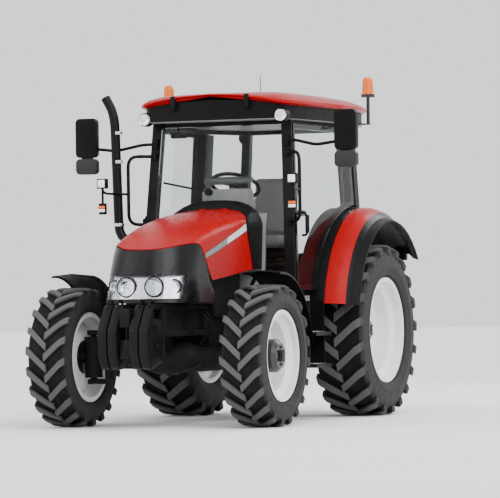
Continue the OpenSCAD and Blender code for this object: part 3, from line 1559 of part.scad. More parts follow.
// Lift rods from the arms' tips down to the links' pins
module lift_rods() {
  turn = [-rocker_l * cos(link_turn), 0, -rocker_l * sin(link_turn)];
  upper = [rock_x, rod_y, rock_z] + turn;
  lower = [link_x, rod_y, link_z] + turn;
  color(iron) both_sides() difference() {
    union() {
      for (p = [upper, lower]) cross_pin(p, lift_boss_r, lift_arm_t);
      bar([upper, lower], lift_rod_r, [0, 1, 0]);
    }
    cross_pin(upper, lift_pin_r + run_gap, lift_arm_t + 2 * over);
    cross_pin(lower, lift_pin_r + seat_gap, lift_arm_t + 2 * over);
  }
}

module drawbar() {
  hang = axle_case_low_z - seat_gap;
  color(iron) difference() {
    union() {
      block([drawbar_x1, -drawbar_w / 2, drawbar_z - drawbar_t], [drawbar_x0, drawbar_w / 2, drawbar_z]);
      for (x = [drawbar_x0 - hanger_t, -axle_case_x + hanger_t])
        block([x, -hanger_w / 2, drawbar_z - over], [x + hanger_t, hanger_w / 2, hang]);
    }
    post([drawbar_hole_x, 0, drawbar_z - drawbar_t / 2], drawbar_d / 2, drawbar_t + 2 * over);
  }
}

// Top link, parked upright on its pin
module top_link() {
  color(iron) translate([-axle_case_x + top_bracket_x / 2, 0, top_z]) rotate([0, top_link_turn, 0])
      difference() {
    union() {
      cross_pin([0, 0, 0], top_eye_r, top_eye_w);
      cross_pin([-top_link_l, 0, 0], top_eye_r, top_eye_w);
      bar([[-top_eye_r / 2, 0, 0], [top_eye_r / 2 - top_link_l, 0, 0]], top_link_r);
    }
    cross_pin([0, 0, 0], top_pin_r + run_gap, top_eye_w + 2 * over);
    cross_pin([-top_link_l, 0, 0], top_eye_d / 2, top_eye_w + 2 * over);
  }
}

module part() {
  front_support();
  front_axle();
  drive_shaft();
  engine_block();
  radiator();
  gearbox();
  rear_axle();
  front_weights();
  cowl();
  exhaust();
  side_tanks();
  cab_steps();
  cab_floor();
  wheel_houses();
  cab_frame();
  roof_lining();
  roof_cap();
  cab_glass();
  rear_fenders();
  fender_flares();
  dash();
  seat();
  side_console();
  mirrors();
  cab_lamps();
  beacons();
  drawbar();
  top_link();
  hood_shell();
  hood_nose();
  headlamps();
  door_left_frame();
  door_left_glass();
  door_right_frame();
  door_right_glass();
  steering_wheel();
  knuckle_left();
  knuckle_right();
  front_fender_left();
  front_fender_right();
  track_rod();
  tyre_front_left();
  rim_front_left();
  tyre_front_right();
  rim_front_right();
  tyre_rear_left();
  rim_rear_left();
  tyre_rear_right();
  rim_rear_right();
  lower_links();
  lift_arms();
  lift_rods();
}

translate([-mid_x, 0, 0]) part();
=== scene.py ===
"""Looks of a farm tractor with a glass cab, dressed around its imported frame."""

from __future__ import annotations

import json
import logging
import math
from dataclasses import dataclass
from enum import Enum
from typing import Any, Iterable, Sequence

import bpy  # noqa: E402
from mathutils import Matrix, Vector  # noqa: E402

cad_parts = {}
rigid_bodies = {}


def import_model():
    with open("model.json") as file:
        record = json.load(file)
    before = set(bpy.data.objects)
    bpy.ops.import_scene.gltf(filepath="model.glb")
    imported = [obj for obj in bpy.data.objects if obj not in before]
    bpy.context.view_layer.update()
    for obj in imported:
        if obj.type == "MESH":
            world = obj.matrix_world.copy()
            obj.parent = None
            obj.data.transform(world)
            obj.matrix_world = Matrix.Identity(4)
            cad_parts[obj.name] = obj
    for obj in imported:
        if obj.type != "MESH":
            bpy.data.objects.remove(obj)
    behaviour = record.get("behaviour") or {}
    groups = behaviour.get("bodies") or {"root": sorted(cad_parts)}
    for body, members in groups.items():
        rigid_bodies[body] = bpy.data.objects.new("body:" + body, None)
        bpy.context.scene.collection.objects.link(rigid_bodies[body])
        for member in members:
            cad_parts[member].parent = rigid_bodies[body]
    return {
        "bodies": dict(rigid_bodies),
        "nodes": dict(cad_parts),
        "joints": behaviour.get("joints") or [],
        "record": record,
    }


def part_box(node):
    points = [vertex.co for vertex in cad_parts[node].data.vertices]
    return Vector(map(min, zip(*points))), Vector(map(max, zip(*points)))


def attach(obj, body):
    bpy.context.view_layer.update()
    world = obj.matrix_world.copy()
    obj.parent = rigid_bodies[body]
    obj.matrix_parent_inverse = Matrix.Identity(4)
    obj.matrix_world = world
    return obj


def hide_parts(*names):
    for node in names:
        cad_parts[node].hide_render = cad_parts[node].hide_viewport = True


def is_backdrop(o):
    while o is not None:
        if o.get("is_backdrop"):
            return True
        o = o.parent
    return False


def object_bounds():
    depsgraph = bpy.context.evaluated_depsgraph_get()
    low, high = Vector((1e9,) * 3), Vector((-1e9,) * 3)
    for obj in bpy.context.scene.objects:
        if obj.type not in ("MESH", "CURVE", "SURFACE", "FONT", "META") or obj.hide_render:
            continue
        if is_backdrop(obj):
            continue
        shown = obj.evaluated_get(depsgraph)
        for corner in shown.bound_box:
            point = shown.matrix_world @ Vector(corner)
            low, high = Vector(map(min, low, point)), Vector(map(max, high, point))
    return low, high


LOG = logging.getLogger("tractor")
Piece = bpy.types.Object
Colour = tuple[float, float, float]
Point = Sequence[float]
Place = tuple[float, float, float]
Pair = tuple[float, float]
Span = tuple[Place, Place]
Profile = tuple[Pair, ...]

WHEELS = ("front_left", "front_right", "rear_left", "rear_right")
SIDES = (("left", 1), ("right", -1))
NUT_CIRCLES = {"front": 0.139, "rear": 0.114}
AHEAD, BACK, UP = (1, 0, 0), (-1, 0, 0), (0, 0, 1)
MIRROR = Matrix.Diagonal((1, -1, 1, 1))
# Points of a mesh that lie nearer than this are one point
MERGE = 1e-5


class Grain(Enum):
    """Fine surface of a finish: noise scale per metre, and bump strength."""

    SMOOTH = (40.0, 0.02)
    PEEL = (90.0, 0.004)
    MOULDED = (900.0, 0.06)
    CAST = (240.0, 0.30)
    RUBBER = (320.0, 0.22)
    WEAVE = (1300.0, 0.12)


class Drift(Enum):
    """Slow change over a surface: noise scale per metre, detail, and the values where it starts and ends."""

    COLOUR = (2.3, 3.0, 0.35, 0.65)
    DUST = (14.0, 6.0, 0.38, 0.68)
    GLOSS = (21.0, 5.0, 0.30, 0.70)
    FILM = (3.0, 3.0, 0.40, 0.70)
    FILM_GLOSS = (9.0, 5.0, 0.35, 0.75)
    FLOOR = (0.4, 3.0, 0.30, 0.70)
    FLOOR_GLOSS = (5.0, 3.0, 0.30, 0.70)


class Axis(Enum):
    """Axis of the shared frame, by the name of its socket."""

    X = "X"
    Y = "Y"
    Z = "Z"


class Graph:
    """A material's node tree, with short calls for the nodes used here."""

    def __init__(self, name: str) -> None:
        """Start a material with an empty Principled shader.

        Args:
            name: Name of the material.
        """
        self.material = bpy.data.materials.new(name)
        self.material.use_nodes = True
        self.nodes = self.material.node_tree.nodes
        self.links = self.material.node_tree.links
        self.shader = self.nodes["Principled BSDF"]
        self.place = self.nodes.new("ShaderNodeTexCoord").outputs["Object"]

    def link(self, out: Any, into: Any) -> None:
        """Join an output to an input."""
        self.links.new(out, into)

    def noise(self, scale: float, detail: float = 3.0) -> Any:
        """Noise over the object's own coordinates.

        Args:
            scale: Waves per metre.
            detail: Octaves of finer noise.

        Returns:
            The noise node's value output.
        """
        node = self.nodes.new("ShaderNodeTexNoise")
        node.inputs["Scale"].default_value = scale
        node.inputs["Detail"].default_value = detail
        self.link(self.place, node.inputs["Vector"])
        return node.outputs["Fac"]

    def remap(self, value: Any, low: float, high: float, to_low: float = 0.0, to_high: float = 1.0) -> Any:
        """Clamped change of range.

        Args:
            value: Output that is read.
            low: Value that becomes to_low.
            high: Value that becomes to_high.
            to_low: Result at the low end.
            to_high: Result at the high end.

        Returns:
            The changed value's output.
        """
        node = self.nodes.new("ShaderNodeMapRange")
        self.link(value, node.inputs["Value"])
        for key, number in zip(("From Min", "From Max", "To Min", "To Max"), (low, high, to_low, to_high)):
            node.inputs[key].default_value = number
        return node.outputs["Result"]

    def vary(self, drift: Drift, low: float = 0.0, high: float = 1.0) -> Any:
        """Slow noise, stretched between two values.

        Args:
            drift: Kind of noise.
            low: Least result.
            high: Greatest result.

        Returns:
            The stretched noise's output.
        """
        scale, detail, start, end = drift.value
        return self.remap(self.noise(scale, detail), start, end, low, high)

    def math(self, kind: str, a: Any, b: Any = 0.0) -> Any:
        """One sum; each side is an output or a number.

        Args:
            kind: Name of the operation.
            a: First side.
            b: Second side, where the operation has one.

        Returns:
            The result's output.
        """
        node = self.nodes.new("ShaderNodeMath")
        node.operation = kind
        for socket, value in zip(node.inputs, (a, b)):
            if isinstance(value, (int, float)):
                socket.default_value = value
            else:
                self.link(value, socket)
        return node.outputs["Value"]

    def mix(self, share: Any, a: Any, b: Any) -> Any:
        """Mix of two colours by a share.

        Args:
            share: Output that gives the share of b.
            a: Colour or output at share 0.
            b: Colour or output at share 1.

        Returns:
            The mixed colour's output.
        """
        node = self.nodes.new("ShaderNodeMix")
        node.data_type = "RGBA"
        self.link(share, node.inputs[0])
        for socket, value in zip((node.inputs[6], node.inputs[7]), (a, b)):
            if isinstance(value, tuple):
                socket.default_value = (*value, 1.0)
            else:
                self.link(value, socket)
        return node.outputs[2]

    def split(self) -> Any:
        """The object's own coordinates.

        Returns:
            Three outputs, for X, Y and Z.
        """
        node = self.nodes.new("ShaderNodeSeparateXYZ")
        self.link(self.place, node.inputs["Vector"])
        return node.outputs

    def from_axle(self, centre: Pair) -> Any:
        """Distance from a line that runs across the tractor.

        Args:
            centre: X and Z of the line.

        Returns:
            The distance's output.
        """
        x, _, z = self.split()
        along, up = self.math("SUBTRACT", x, centre[0]), self.math("SUBTRACT", z, centre[1])
        square = self.math("ADD", self.math("MULTIPLY", along, along), self.math("MULTIPLY", up, up))
        return self.math("SQRT", square)

    def bump(self, height: Any, strength: float, distance: float = 0.001) -> None:
        """Drive the shader's normal by a height.

        Args:
            height: Output that gives the height.
            strength: Share of the effect.
            distance: Depth in metres at a height of 1.
        """
        node = self.nodes.new("ShaderNodeBump")
        node.inputs["Strength"].default_value = strength
        node.inputs["Distance"].default_value = distance
        self.link(height, node.inputs["Height"])
        self.link(node.outputs["Normal"], self.shader.inputs["Normal"])

    def put(self, **numbers: float) -> None:
        """Set numbers on the shader's own sockets, with _ for a space."""
        for key, number in numbers.items():
            self.shader.inputs[key.replace("_", " ")].default_value = number


@dataclass(frozen=True)
class Finish:
    """A solid finish with soft colour drift, varied gloss, fine grain and ground dust."""

    name: str
    colour: Colour
    drift: Colour
    rough: Pair
    grain: Grain
    metallic: float = 0.0
    coat: float = 0.0
    coat_rough: float = 0.06
    shine: float = 0.5
    dust: float = 0.0
    dust_top: float = 0.9
    dust_colour: Colour = (0.23, 0.20, 0.16)

    def build(self) -> bpy.types.Material:
        """Make the material.

        Returns:
            The material, with the second colour that a subclass paints.
        """
        g = Graph(self.name)
        g.put(Metallic=self.metallic, Specular_IOR_Level=self.shine)
        g.put(Coat_Weight=self.coat, Coat_Roughness=self.coat_rough)
        colour = self.paint(g, g.mix(g.vary(Drift.COLOUR), self.colour, self.drift))
        if self.dust:
            height = g.remap(g.split()["Z"], 0.0, self.dust_top, self.dust, 0.0)
            colour = g.mix(g.math("MULTIPLY", height, g.vary(Drift.DUST)), colour, self.dust_colour)
        g.link(colour, g.shader.inputs["Base Color"])
        g.link(g.vary(Drift.GLOSS, *self.rough), g.shader.inputs["Roughness"])
        scale, strength = self.grain.value
        g.bump(g.noise(scale), strength)
        return g.material

    def paint(self, g: Graph, colour: Any) -> Any:
        """Second colour over the first, for a subclass; here there is none.

        Args:
            g: Graph that is being built.
            colour: Colour so far.

        Returns:
            The colour to use.
        """
        return colour


@dataclass(frozen=True)
class HubFinish(Finish):
    """A wheel's paint, with its hub in a darker colour inside a radius."""

    centre: Pair = (0.0, 0.0)
    hub_r: float = 0.1
    hub_colour: Colour = (0.006, 0.006, 0.0065)

    def paint(self, g: Graph, colour: Any) -> Any:
        """Darken what lies inside the hub's radius.

        Args:
            g: Graph that is being built.
            colour: Paint of the rim.

        Returns:
            Paint of the rim and its hub.
        """
        inside = g.math("LESS_THAN", g.from_axle(self.centre), self.hub_r)
        return g.mix(inside, colour, self.hub_colour)


@dataclass(frozen=True)
class TyreFinish(Finish):
    """Rubber with painted highlights on the sidewalls and the lug tops, told apart by radius and width."""

    centre: Place = (0.0, 0.0, 0.0)
    radius: float = 0.5
    half_w: float = 0.16
    # Painted highlights: lighter rubber on the lug tops and on the sidewalls stands in for light falling on
    # them
    highlight_depth: float = 0.012
    sidewall_highlight_shares: Pair = (0.80, 0.95)
    lug_highlight_colour: Colour = (0.075, 0.073, 0.070)
    sidewall_highlight_colour: Colour = (0.030, 0.0295, 0.029)

    def paint(self, g: Graph, colour: Any) -> Any:
        """Paint highlights on the sidewalls and the lug tops.

        Args:
            g: Graph that is being built.
            colour: Rubber between the lugs.

        Returns:
            Rubber of the whole tyre.
        """
        x, y, z = self.centre
        across = g.math("ABSOLUTE", g.math("SUBTRACT", g.split()["Y"], y))
        # Painted highlight on the sidewalls, over the outer part of the tyre's width
        side = g.remap(across, *(self.half_w * share for share in self.sidewall_highlight_shares))
        # Painted highlight on the lug tops, near the tyre's full radius
        lug_highlight_r = self.radius - self.highlight_depth
        lug_highlight = g.remap(g.from_axle((x, z)), lug_highlight_r - self.highlight_depth, lug_highlight_r)
        return g.mix(lug_highlight, g.mix(side, colour, self.sidewall_highlight_colour), self.lug_highlight_colour)


@dataclass(frozen=True)
class BandFinish(Finish):
    """A finish with a second colour on one side of a plane."""

    axis: Axis = Axis.Z
    edge: float = 0.0
    above: bool = False
    band_colour: Colour = (0.02, 0.02, 0.022)

    def paint(self, g: Graph, colour: Any) -> Any:
        """Colour what lies beyond the plane.

        Args:
            g: Graph that is being built.
            colour: Colour of the rest.

        Returns:
            Both colours.
        """
        kind = "GREATER_THAN" if self.above else "LESS_THAN"
        return g.mix(g.math(kind, g.split()[self.axis.value], self.edge), colour, self.band_colour)


@dataclass(frozen=True)
class StripeFinish(Finish):
    """A paint with a slanted stripe along both sides, in two tones with a dark edge."""

    front: Pair = (0.0, 0.0)
    rear: Pair = (0.0, 0.0)
    half_front: float = 0.018
    half_rear: float = 0.027
    edge: float = 0.006
    side_y: float = 0.25
    stripe_colour: Colour = (0.55, 0.56, 0.56)
    front_share: float = 1 / 3
    dark_colour: Colour = (0.03, 0.03, 0.032)

    def paint(self, g: Graph, colour: Any) -> Any:
        """Lay the stripe over the paint.

        Args:
            g: Graph that is being built.
            colour: Paint of the panel.

        Returns:
            Paint and stripe.
        """
        x, y, z = g.split()
        (x1, z1), (x0, z0) = self.front, self.rear
        half = g.remap(x, x0, x1, self.half_rear, self.half_front)
        off = g.math("ABSOLUTE", g.math("SUBTRACT", z, g.remap(x, x0, x1, z0, z1)))
        along = g.math("MULTIPLY", g.math("GREATER_THAN", x, x0), g.math("LESS_THAN", x, x1))
        on_side = g.math("MULTIPLY", along, g.math("GREATER_THAN", g.math("ABSOLUTE", y), self.side_y))
        inner = g.math("MULTIPLY", on_side, g.math("LESS_THAN", off, half))
        outer = g.math("MULTIPLY", on_side, g.math("LESS_THAN", off, g.math("ADD", half, self.edge)))
        middle = (x0 + x1) / 2
        ahead = g.remap(x, middle - self.edge, middle + self.edge)
        tone = g.mix(ahead, self.stripe_colour, tuple(c * self.front_share for c in self.stripe_colour))
        return g.mix(inner, g.mix(outer, colour, self.dark_colour), tone)


@dataclass(frozen=True)
class FenderFinish(Finish):
    """Paint of the rear fenders, dark under the sheet and along both edges."""

    centre: Pair = (0.0, 0.0)
    radius: float = 0.885
    start_y: float = 0.677
    width: float = 0.240
    y_shares: tuple[float, ...] = (0.0, 0.50, 0.83, 1.0)
    drop_shares: tuple[float, ...] = (0.0, 0.010, 0.046, 0.095)
    wall: float = 0.006
    paint_from: float = 0.050
    paint_to: float = 0.205
    dark_colour: Colour = (0.0045, 0.0045, 0.0050)

    def paint(self, g: Graph, colour: Any) -> Any:
        """Darken the underside and the edges.

        Args:
            g: Graph that is being built.
            colour: Paint of the outside.

        Returns:
            Paint and dark edges.
        """
        out = g.math("ABSOLUTE", g.split()["Y"])
        reach: Any = self.radius - self.wall / 2
        for k in range(1, len(self.y_shares)):
            low, high = (self.start_y + self.width * share for share in self.y_shares[k - 1 : k + 1])
            step = self.radius * (self.drop_shares[k] - self.drop_shares[k - 1])
            reach = g.math("SUBTRACT", reach, g.remap(out, low, high, 0.0, step))
        under = g.math("LESS_THAN", g.from_axle(self.centre), reach)
        inner = g.math("LESS_THAN", out, self.start_y + self.paint_from)
        outer = g.math("GREATER_THAN", out, self.start_y + self.paint_to)
        return g.mix(g.math("MAXIMUM", under, g.math("MAXIMUM", inner, outer)), colour, self.dark_colour)


@dataclass(frozen=True)
class Clear:
    """Glass or a clear lens, with a faint film of dust."""

    name: str
    colour: Colour
    ior: float
    rough: Pair = (0.0, 0.03)
    film: float = 0.94
    ripple: float = 0.0
    ripple_scale: float = 160.0

    def build(self) -> bpy.types.Material:
        """Make the material.

        Returns:
            The clear material.
        """
        g = Graph(self.name)
        g.put(Transmission_Weight=1.0, IOR=self.ior)
        film = tuple(c * self.film for c in self.colour)
        g.link(g.mix(g.vary(Drift.FILM), self.colour, film), g.shader.inputs["Base Color"])
        g.link(g.vary(Drift.FILM_GLOSS, *self.rough), g.shader.inputs["Roughness"])
        if self.ripple:
            g.bump(g.noise(self.ripple_scale), self.ripple)
        return g.material


RED_PAINT: dict[str, Any] = {
    "colour": (0.33, 0.0008, 0.0024),
    "drift": (0.30, 0.0008, 0.0022),
    "rough": (0.24, 0.33),
    "grain": Grain.PEEL,
    "shine": 0.09,
}
BLACK_PLASTIC: dict[str, Any] = {
    "colour": (0.0032, 0.0032, 0.0036),
    "drift": (0.0055, 0.0055, 0.0060),
    "rough": (0.40, 0.56),
    "grain": Grain.MOULDED,
    "shine": 0.08,
}
GREY_TRIM: dict[str, Any] = {
    "colour": (0.20, 0.20, 0.19),
    "drift": (0.16, 0.16, 0.155),
    "rough": (0.50, 0.68),
    "grain": Grain.MOULDED,
}


class Frame:
    """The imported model, with places measured from the rear axle on the ground."""

    def __init__(self) -> None:
        """Load the frame and keep its box."""
        self.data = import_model()
        self.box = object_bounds()
        self.joints = {j["name"]: Vector(j["pos_m"]) for j in self.data["joints"]}
        self.rear_x = self.joints["rear_left_spin"].x

    def node(self, name: str) -> Piece:
        """CAD object of one node."""
        return self.data["nodes"][name]

    def at(self, x: float, y: float, z: float) -> Vector:
        """Place in the shared frame of a point measured from the rear axle."""
        return Vector((x + self.rear_x, y, z))

    def seat(self, node: str, start: Vector, way: Point) -> Vector:
        """First place on a CAD node that a line from a point meets.

        Args:
            node: Name of the node.
            start: Where the line starts, in the shared frame.
            way: Direction of the line.

        Returns:
            The place on the node's surface.

        Raises:
            ValueError: The line misses the node.
        """
        bpy.context.view_layer.update()
        obj = self.node(node)
        back = obj.matrix_world.inverted()
        met, place, _, _ = obj.ray_cast(back @ start, back.to_3x3() @ Vector(way))
        if not met:
            raise ValueError(f"no surface of {node} at {tuple(start)}")
        return obj.matrix_world @ place

    def write_sizes(self) -> None:
        """Work out the CAD model's box and the dressed model's box, which are neither kept nor written."""
        {"cad": [list(c) for c in self.box], "visual": [list(c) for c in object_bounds()]}


@dataclass
class FittedFinishes:
    """Finishes whose edges and centres come from the frame."""

    frame: Frame
    hub_r: float = 0.121
    beacon_h: float = 0.13
    lining_t: float = 0.002
    lining_rough: Pair = (0.40, 0.55)
    aerial_z: float = 2.506
    floor_rear_x: float = -0.40
    fender_arc: Pair = (-0.040, 0.740)
    mirror_z: float = 0.125
    stripe_front: Pair = (2.19, 1.24)
    stripe_rear: Pair = (1.46, 1.458)

    def spot(self, place: Pair) -> Pair:
        """X and Z in the shared frame of a place measured from the rear axle."""
        return place[0] + self.frame.rear_x, place[1]

    def build(self) -> list[Finish]:
        """Fit every finish.

        Returns:
            The finishes of wheels, banded nodes and red sheets.
        """
        return [*self.wheels(), *self.bands(), *self.reds()]

    def wheels(self) -> Iterable[Finish]:
        """Paint of the rims at each end, and rubber of each tyre.

        Yields:
            One finish after the other.
        """
        for end in NUT_CIRCLES:
            place = self.frame.joints[f"{end}_left_spin"]
            yield HubFinish(
                f"{end}_rim",
                (0.80, 0.80, 0.79),
                (0.72, 0.72, 0.71),
                (0.30, 0.45),
                Grain.PEEL,
                coat=0.2,
                dust=0.1,
                centre=(place.x, place.z),
                hub_r=self.hub_r,
            )
        for wheel in WHEELS:
            place, (low, high) = self.frame.joints[f"{wheel}_spin"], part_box(f"tyre_{wheel}")
            yield TyreFinish(
                f"rubber_{wheel}",
                (0.0050, 0.0050, 0.0050),
                (0.0085, 0.0083, 0.0080),
                (0.60, 0.82),
                Grain.RUBBER,
                shine=0.12,
                dust=0.03,
                centre=tuple(place),
                radius=place.z,
                half_w=(high.y - low.y) / 2,
            )

    def bands(self) -> Iterable[Finish]:
        """Finishes of nodes that have a second colour beyond a plane.

        Yields:
            One finish after the other.
        """
        yield BandFinish(
            "beacon",
            (0.72, 0.135, 0.002),
            (0.60, 0.10, 0.002),
            (0.08, 0.18),
            Grain.SMOOTH,
            coat=0.2,
            shine=0.25,
            edge=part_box("beacons")[1].z - self.beacon_h,
        )
        lining_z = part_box("roof_lining")[0].z + self.lining_t
        lining = BLACK_PLASTIC | {"rough": self.lining_rough}
        yield BandFinish("lined_black", **lining, edge=lining_z, band_colour=(0.24, 0.24, 0.23))
        rear_x = self.spot((self.floor_rear_x, 0.0))[0]
        dark = (0.006, 0.006, 0.0065)
        yield BandFinish("floor_grey", **GREY_TRIM, axis=Axis.X, edge=rear_x, band_colour=dark)
        head_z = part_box("mirrors")[0].z + self.mirror_z
        yield BandFinish("mirror_black", **BLACK_PLASTIC, edge=head_z, band_colour=(0.026, 0.026, 0.027))

    def reds(self) -> Iterable[Finish]:
        """Red paint of roof, fenders and hood, each with its own dark or grey places.

        Yields:
            One finish after the other.
        """
        yield BandFinish("roof_red", **RED_PAINT, edge=self.aerial_z, above=True)
        yield FenderFinish("fender_red", **RED_PAINT, centre=self.spot(self.fender_arc))
        front, rear = self.spot(self.stripe_front), self.spot(self.stripe_rear)
        yield StripeFinish("striped_red", **RED_PAINT, front=front, rear=rear)


class Paints:
    """Every finish of the tractor, each made once."""

    FINISHES: tuple[Finish | Clear, ...] = (
        Finish(
            "black_paint",
            (0.0030, 0.0030, 0.0034),
            (0.0050, 0.0050, 0.0054),
            (0.32, 0.46),
            Grain.PEEL,
            coat=0.03,
            shine=0.10,
            dust=0.02,
        ),
        Finish("black_plastic", **BLACK_PLASTIC, dust=0.02),
        Finish(
            "gloss_black",
            (0.0030, 0.0030, 0.0034),
            (0.0045, 0.0045, 0.0050),
            (0.20, 0.30),
            Grain.PEEL,
            coat=0.08,
            shine=0.14,
        ),
        Finish(
            "casting",
            (0.0045, 0.0045, 0.0050),
            (0.0085, 0.0085, 0.0090),
            (0.45, 0.68),
            Grain.CAST,
            shine=0.08,
            dust=0.04,
        ),
        Finish("grey_trim", **GREY_TRIM),
        Finish("dark_trim", (0.045, 0.045, 0.047), (0.06, 0.06, 0.06), (0.48, 0.66), Grain.MOULDED),
        Finish(
            "soft_grip",
            (0.005, 0.005, 0.0055),
            (0.009, 0.009, 0.009),
            (0.55, 0.75),
            Grain.RUBBER,
            shine=0.1,
        ),
        Finish("seat_cloth", (0.15, 0.148, 0.142), (0.12, 0.118, 0.114), (0.75, 0.92), Grain.WEAVE),
        Finish(
            "bright_steel",
            (0.62, 0.62, 0.61),
            (0.52, 0.52, 0.52),
            (0.22, 0.40),
            Grain.SMOOTH,
            metallic=1.0,
        ),
        Finish("chrome", (0.86, 0.87, 0.88), (0.80, 0.81, 0.82), (0.03, 0.08), Grain.SMOOTH, metallic=1.0),
        Finish("lamp_bowl", (0.62, 0.63, 0.64), (0.50, 0.51, 0.52), (0.14, 0.30), Grain.SMOOTH, metallic=0.9),
        Finish("white_lens", (0.88, 0.89, 0.90), (0.80, 0.81, 0.82), (0.10, 0.20), Grain.SMOOTH, coat=0.5),
        Finish(
            "amber_lens",
            (0.72, 0.135, 0.002),
            (0.62, 0.105, 0.002),
            (0.10, 0.20),
            Grain.SMOOTH,
            coat=0.15,
            shine=0.2,
        ),
        Finish(
            "red_lens",
            (0.26, 0.001, 0.001),
            (0.20, 0.001, 0.001),
            (0.10, 0.20),
            Grain.SMOOTH,
            coat=0.10,
            shine=0.15,
        ),
        Clear("window_glass", (0.95, 0.975, 0.97), ior=1.16),
        Clear("lamp_lens", (0.97, 0.98, 1.0), ior=1.18, ripple=0.05),
    )

    def __init__(self, fitted: Iterable[Finish]) -> None:
        """Make every finish.

        Args:
            fitted: Finishes whose places come from the frame.
        """
        self.made = {finish.name: finish.build() for finish in (*self.FINISHES, *fitted)}

    def dress(self, obj: Piece, name: str) -> None:
        """Give an object one finish alone.

        Args:
            obj: Object to dress.
            name: Name of the finish.
        """
        obj.data.materials.clear()
        obj.data.materials.append(self.made[name])


class Bench:
    """Modelling steps that the pieces share, each done as by hand."""

    @staticmethod
    def clear() -> None:
        """Select nothing, in object mode."""
        if bpy.context.object and bpy.context.object.mode != "OBJECT":
            bpy.ops.object.mode_set(mode="OBJECT")
        bpy.ops.object.select_all(action="DESELECT")

    @staticmethod
    def pick(obj: Piece) -> None:
        """Select one object alone and make it active.

        Args:
            obj: Object to pick.
        """
        Bench.clear()
        obj.select_set(True)
        bpy.context.view_layer.objects.active = obj

    @staticmethod
    def settle(obj: Piece, name: str) -> Piece:
        """Put an object's place into its mesh, so that it sits at the origin.

        Args:
            obj: Object to settle.
            name: Name that it gets.

        Returns:
            The same object.
        """
        Bench.pick(obj)
        bpy.ops.object.transform_apply(location=True, rotation=True, scale=True)
        obj.name = name
        obj.data.name = name
        return obj

    @staticmethod
    def apply(obj: Piece) -> Piece:
        """Apply every modifier of an object.

        Args:
            obj: Object whose modifiers are applied.

        Returns:
            The same object.
        """
        Bench.pick(obj)
        for modifier in list(obj.modifiers):
            bpy.ops.object.modifier_apply(modifier=modifier.name)
        return obj

    @staticmethod
    def soften(obj: Piece, width: float, segments: int = 2) -> Piece:
        """Round the sharp edges.

        Args:
            obj: Object to round.
            width: Width of the rounding.
            segments: Steps across it.

        Returns:
            The same object.
        """
        bevel = obj.modifiers.new("round", "BEVEL")
        bevel.width = width
        bevel.segments = segments
        bevel.limit_method = "ANGLE"
        return Bench.apply(obj)

    @staticmethod
    def smooth(obj: Piece, degrees: float = 35.0) -> None:
        """Shade faces smooth up to an angle."""
        Bench.pick(obj)
        bpy.ops.object.shade_smooth_by_angle(angle=math.radians(degrees))

    @staticmethod
    def block(name: str, low: Point, high: Point, width: float, turn: Point = (0, 0, 0)) -> Piece:
        """Rounded block between two corners, turned about its middle.

        Args:
            name: Name of the piece.
            low: Lowest corner.
            high: Highest corner.
            width: Rounding of its edges.
            turn: Angles about X, Y and Z.

        Returns:
            The block.
        """
        low, high = Vector(low), Vector(high)
        Bench.clear()
        bpy.ops.mesh.primitive_cube_add(size=1, location=(low + high) / 2, rotation=turn, scale=high - low)
        return Bench.soften(Bench.settle(bpy.context.object, name), width)

    @staticmethod
    def lathe(name: str, profile: Iterable[Point], centre: Point, axis: Point, steps: int = 32) -> Piece:
        """Turned piece.

        Args:
            name: Name of the piece.
            profile: Radius and height of each point, from one end of the axis to the other.
            centre: Place of height 0.
            axis: Direction of height.
            steps: Faces round the axis.

        Returns:
            The turned piece.
        """
        points = [(r, 0.0, h) for r, h in profile]
        mesh = bpy.data.meshes.new(name)
        mesh.from_pydata(points, [(i, i + 1) for i in range(len(points) - 1)], [])
        obj = bpy.data.objects.new(name, mesh)
        bpy.context.scene.collection.objects.link(obj)
        Bench.pick(obj)
        bpy.ops.object.mode_set(mode="EDIT")
        bpy.ops.mesh.select_all(action="SELECT")
        bpy.ops.mesh.spin(steps=steps, angle=2 * math.pi, center=(0, 0, 0), axis=(0, 0, 1))
        bpy.ops.mesh.select_all(action="SELECT")
        bpy.ops.mesh.remove_doubles(threshold=MERGE)
        bpy.ops.mesh.normals_make_consistent(inside=False)
        bpy.ops.object.mode_set(mode="OBJECT")
        turn = Vector(axis).to_track_quat("Z", "Y").to_matrix().to_4x4()
        obj.matrix_world = Matrix.Translation(Vector(centre)) @ turn
        return Bench.settle(obj, name)

    @staticmethod
    def pipe(name: str, points: Iterable[Point], radius: float, rounds: int = 3) -> Piece:
        """Round bar along a smooth line through a few points.

        Args:
            name: Name of the piece.
            points: Points of the line.
            radius: Radius of the bar.
            rounds: Fineness of its section.

        Returns:
            The bar as a mesh.
        """
        curve = bpy.data.curves.new(name, "CURVE")
        curve.dimensions = "3D"
        curve.bevel_depth = radius
        curve.bevel_resolution = rounds
        curve.use_fill_caps = True
        points = [Vector(p) for p in points]
        spline = curve.splines.new("NURBS")
        spline.points.add(len(points) - 1)
        for spot, point in zip(spline.points, points):
            spot.co = (*point, 1.0)
        spline.order_u = 3
        spline.use_endpoint_u = True
        spline.resolution_u = 5
        obj = bpy.data.objects.new(name, curve)
        bpy.context.scene.collection.objects.link(obj)
        Bench.pick(obj)
        bpy.ops.object.convert(target="MESH")
        return Bench.settle(bpy.context.object, name)

    @staticmethod
    def nut(name: str, centre: Point, axis: Point, across: float, height: float) -> Piece:
        """Hexagon nut with a rounded top.

        Args:
            name: Name of the piece.
            centre: Middle of its seat.
            axis: Way it stands off the seat.
            across: Its width over the corners.
            height: Its height.

        Returns:
            The nut.
        """
        axis = Vector(axis).normalized()
        Bench.clear()
        bpy.ops.mesh.primitive_cylinder_add(
            vertices=6,
            radius=across / 2,
            depth=height,
            location=Vector(centre) + axis * height / 2,
            rotation=axis.to_track_quat("Z", "Y").to_euler(),
        )
        return Bench.soften(Bench.settle(bpy.context.object, name), height / 6, 1)

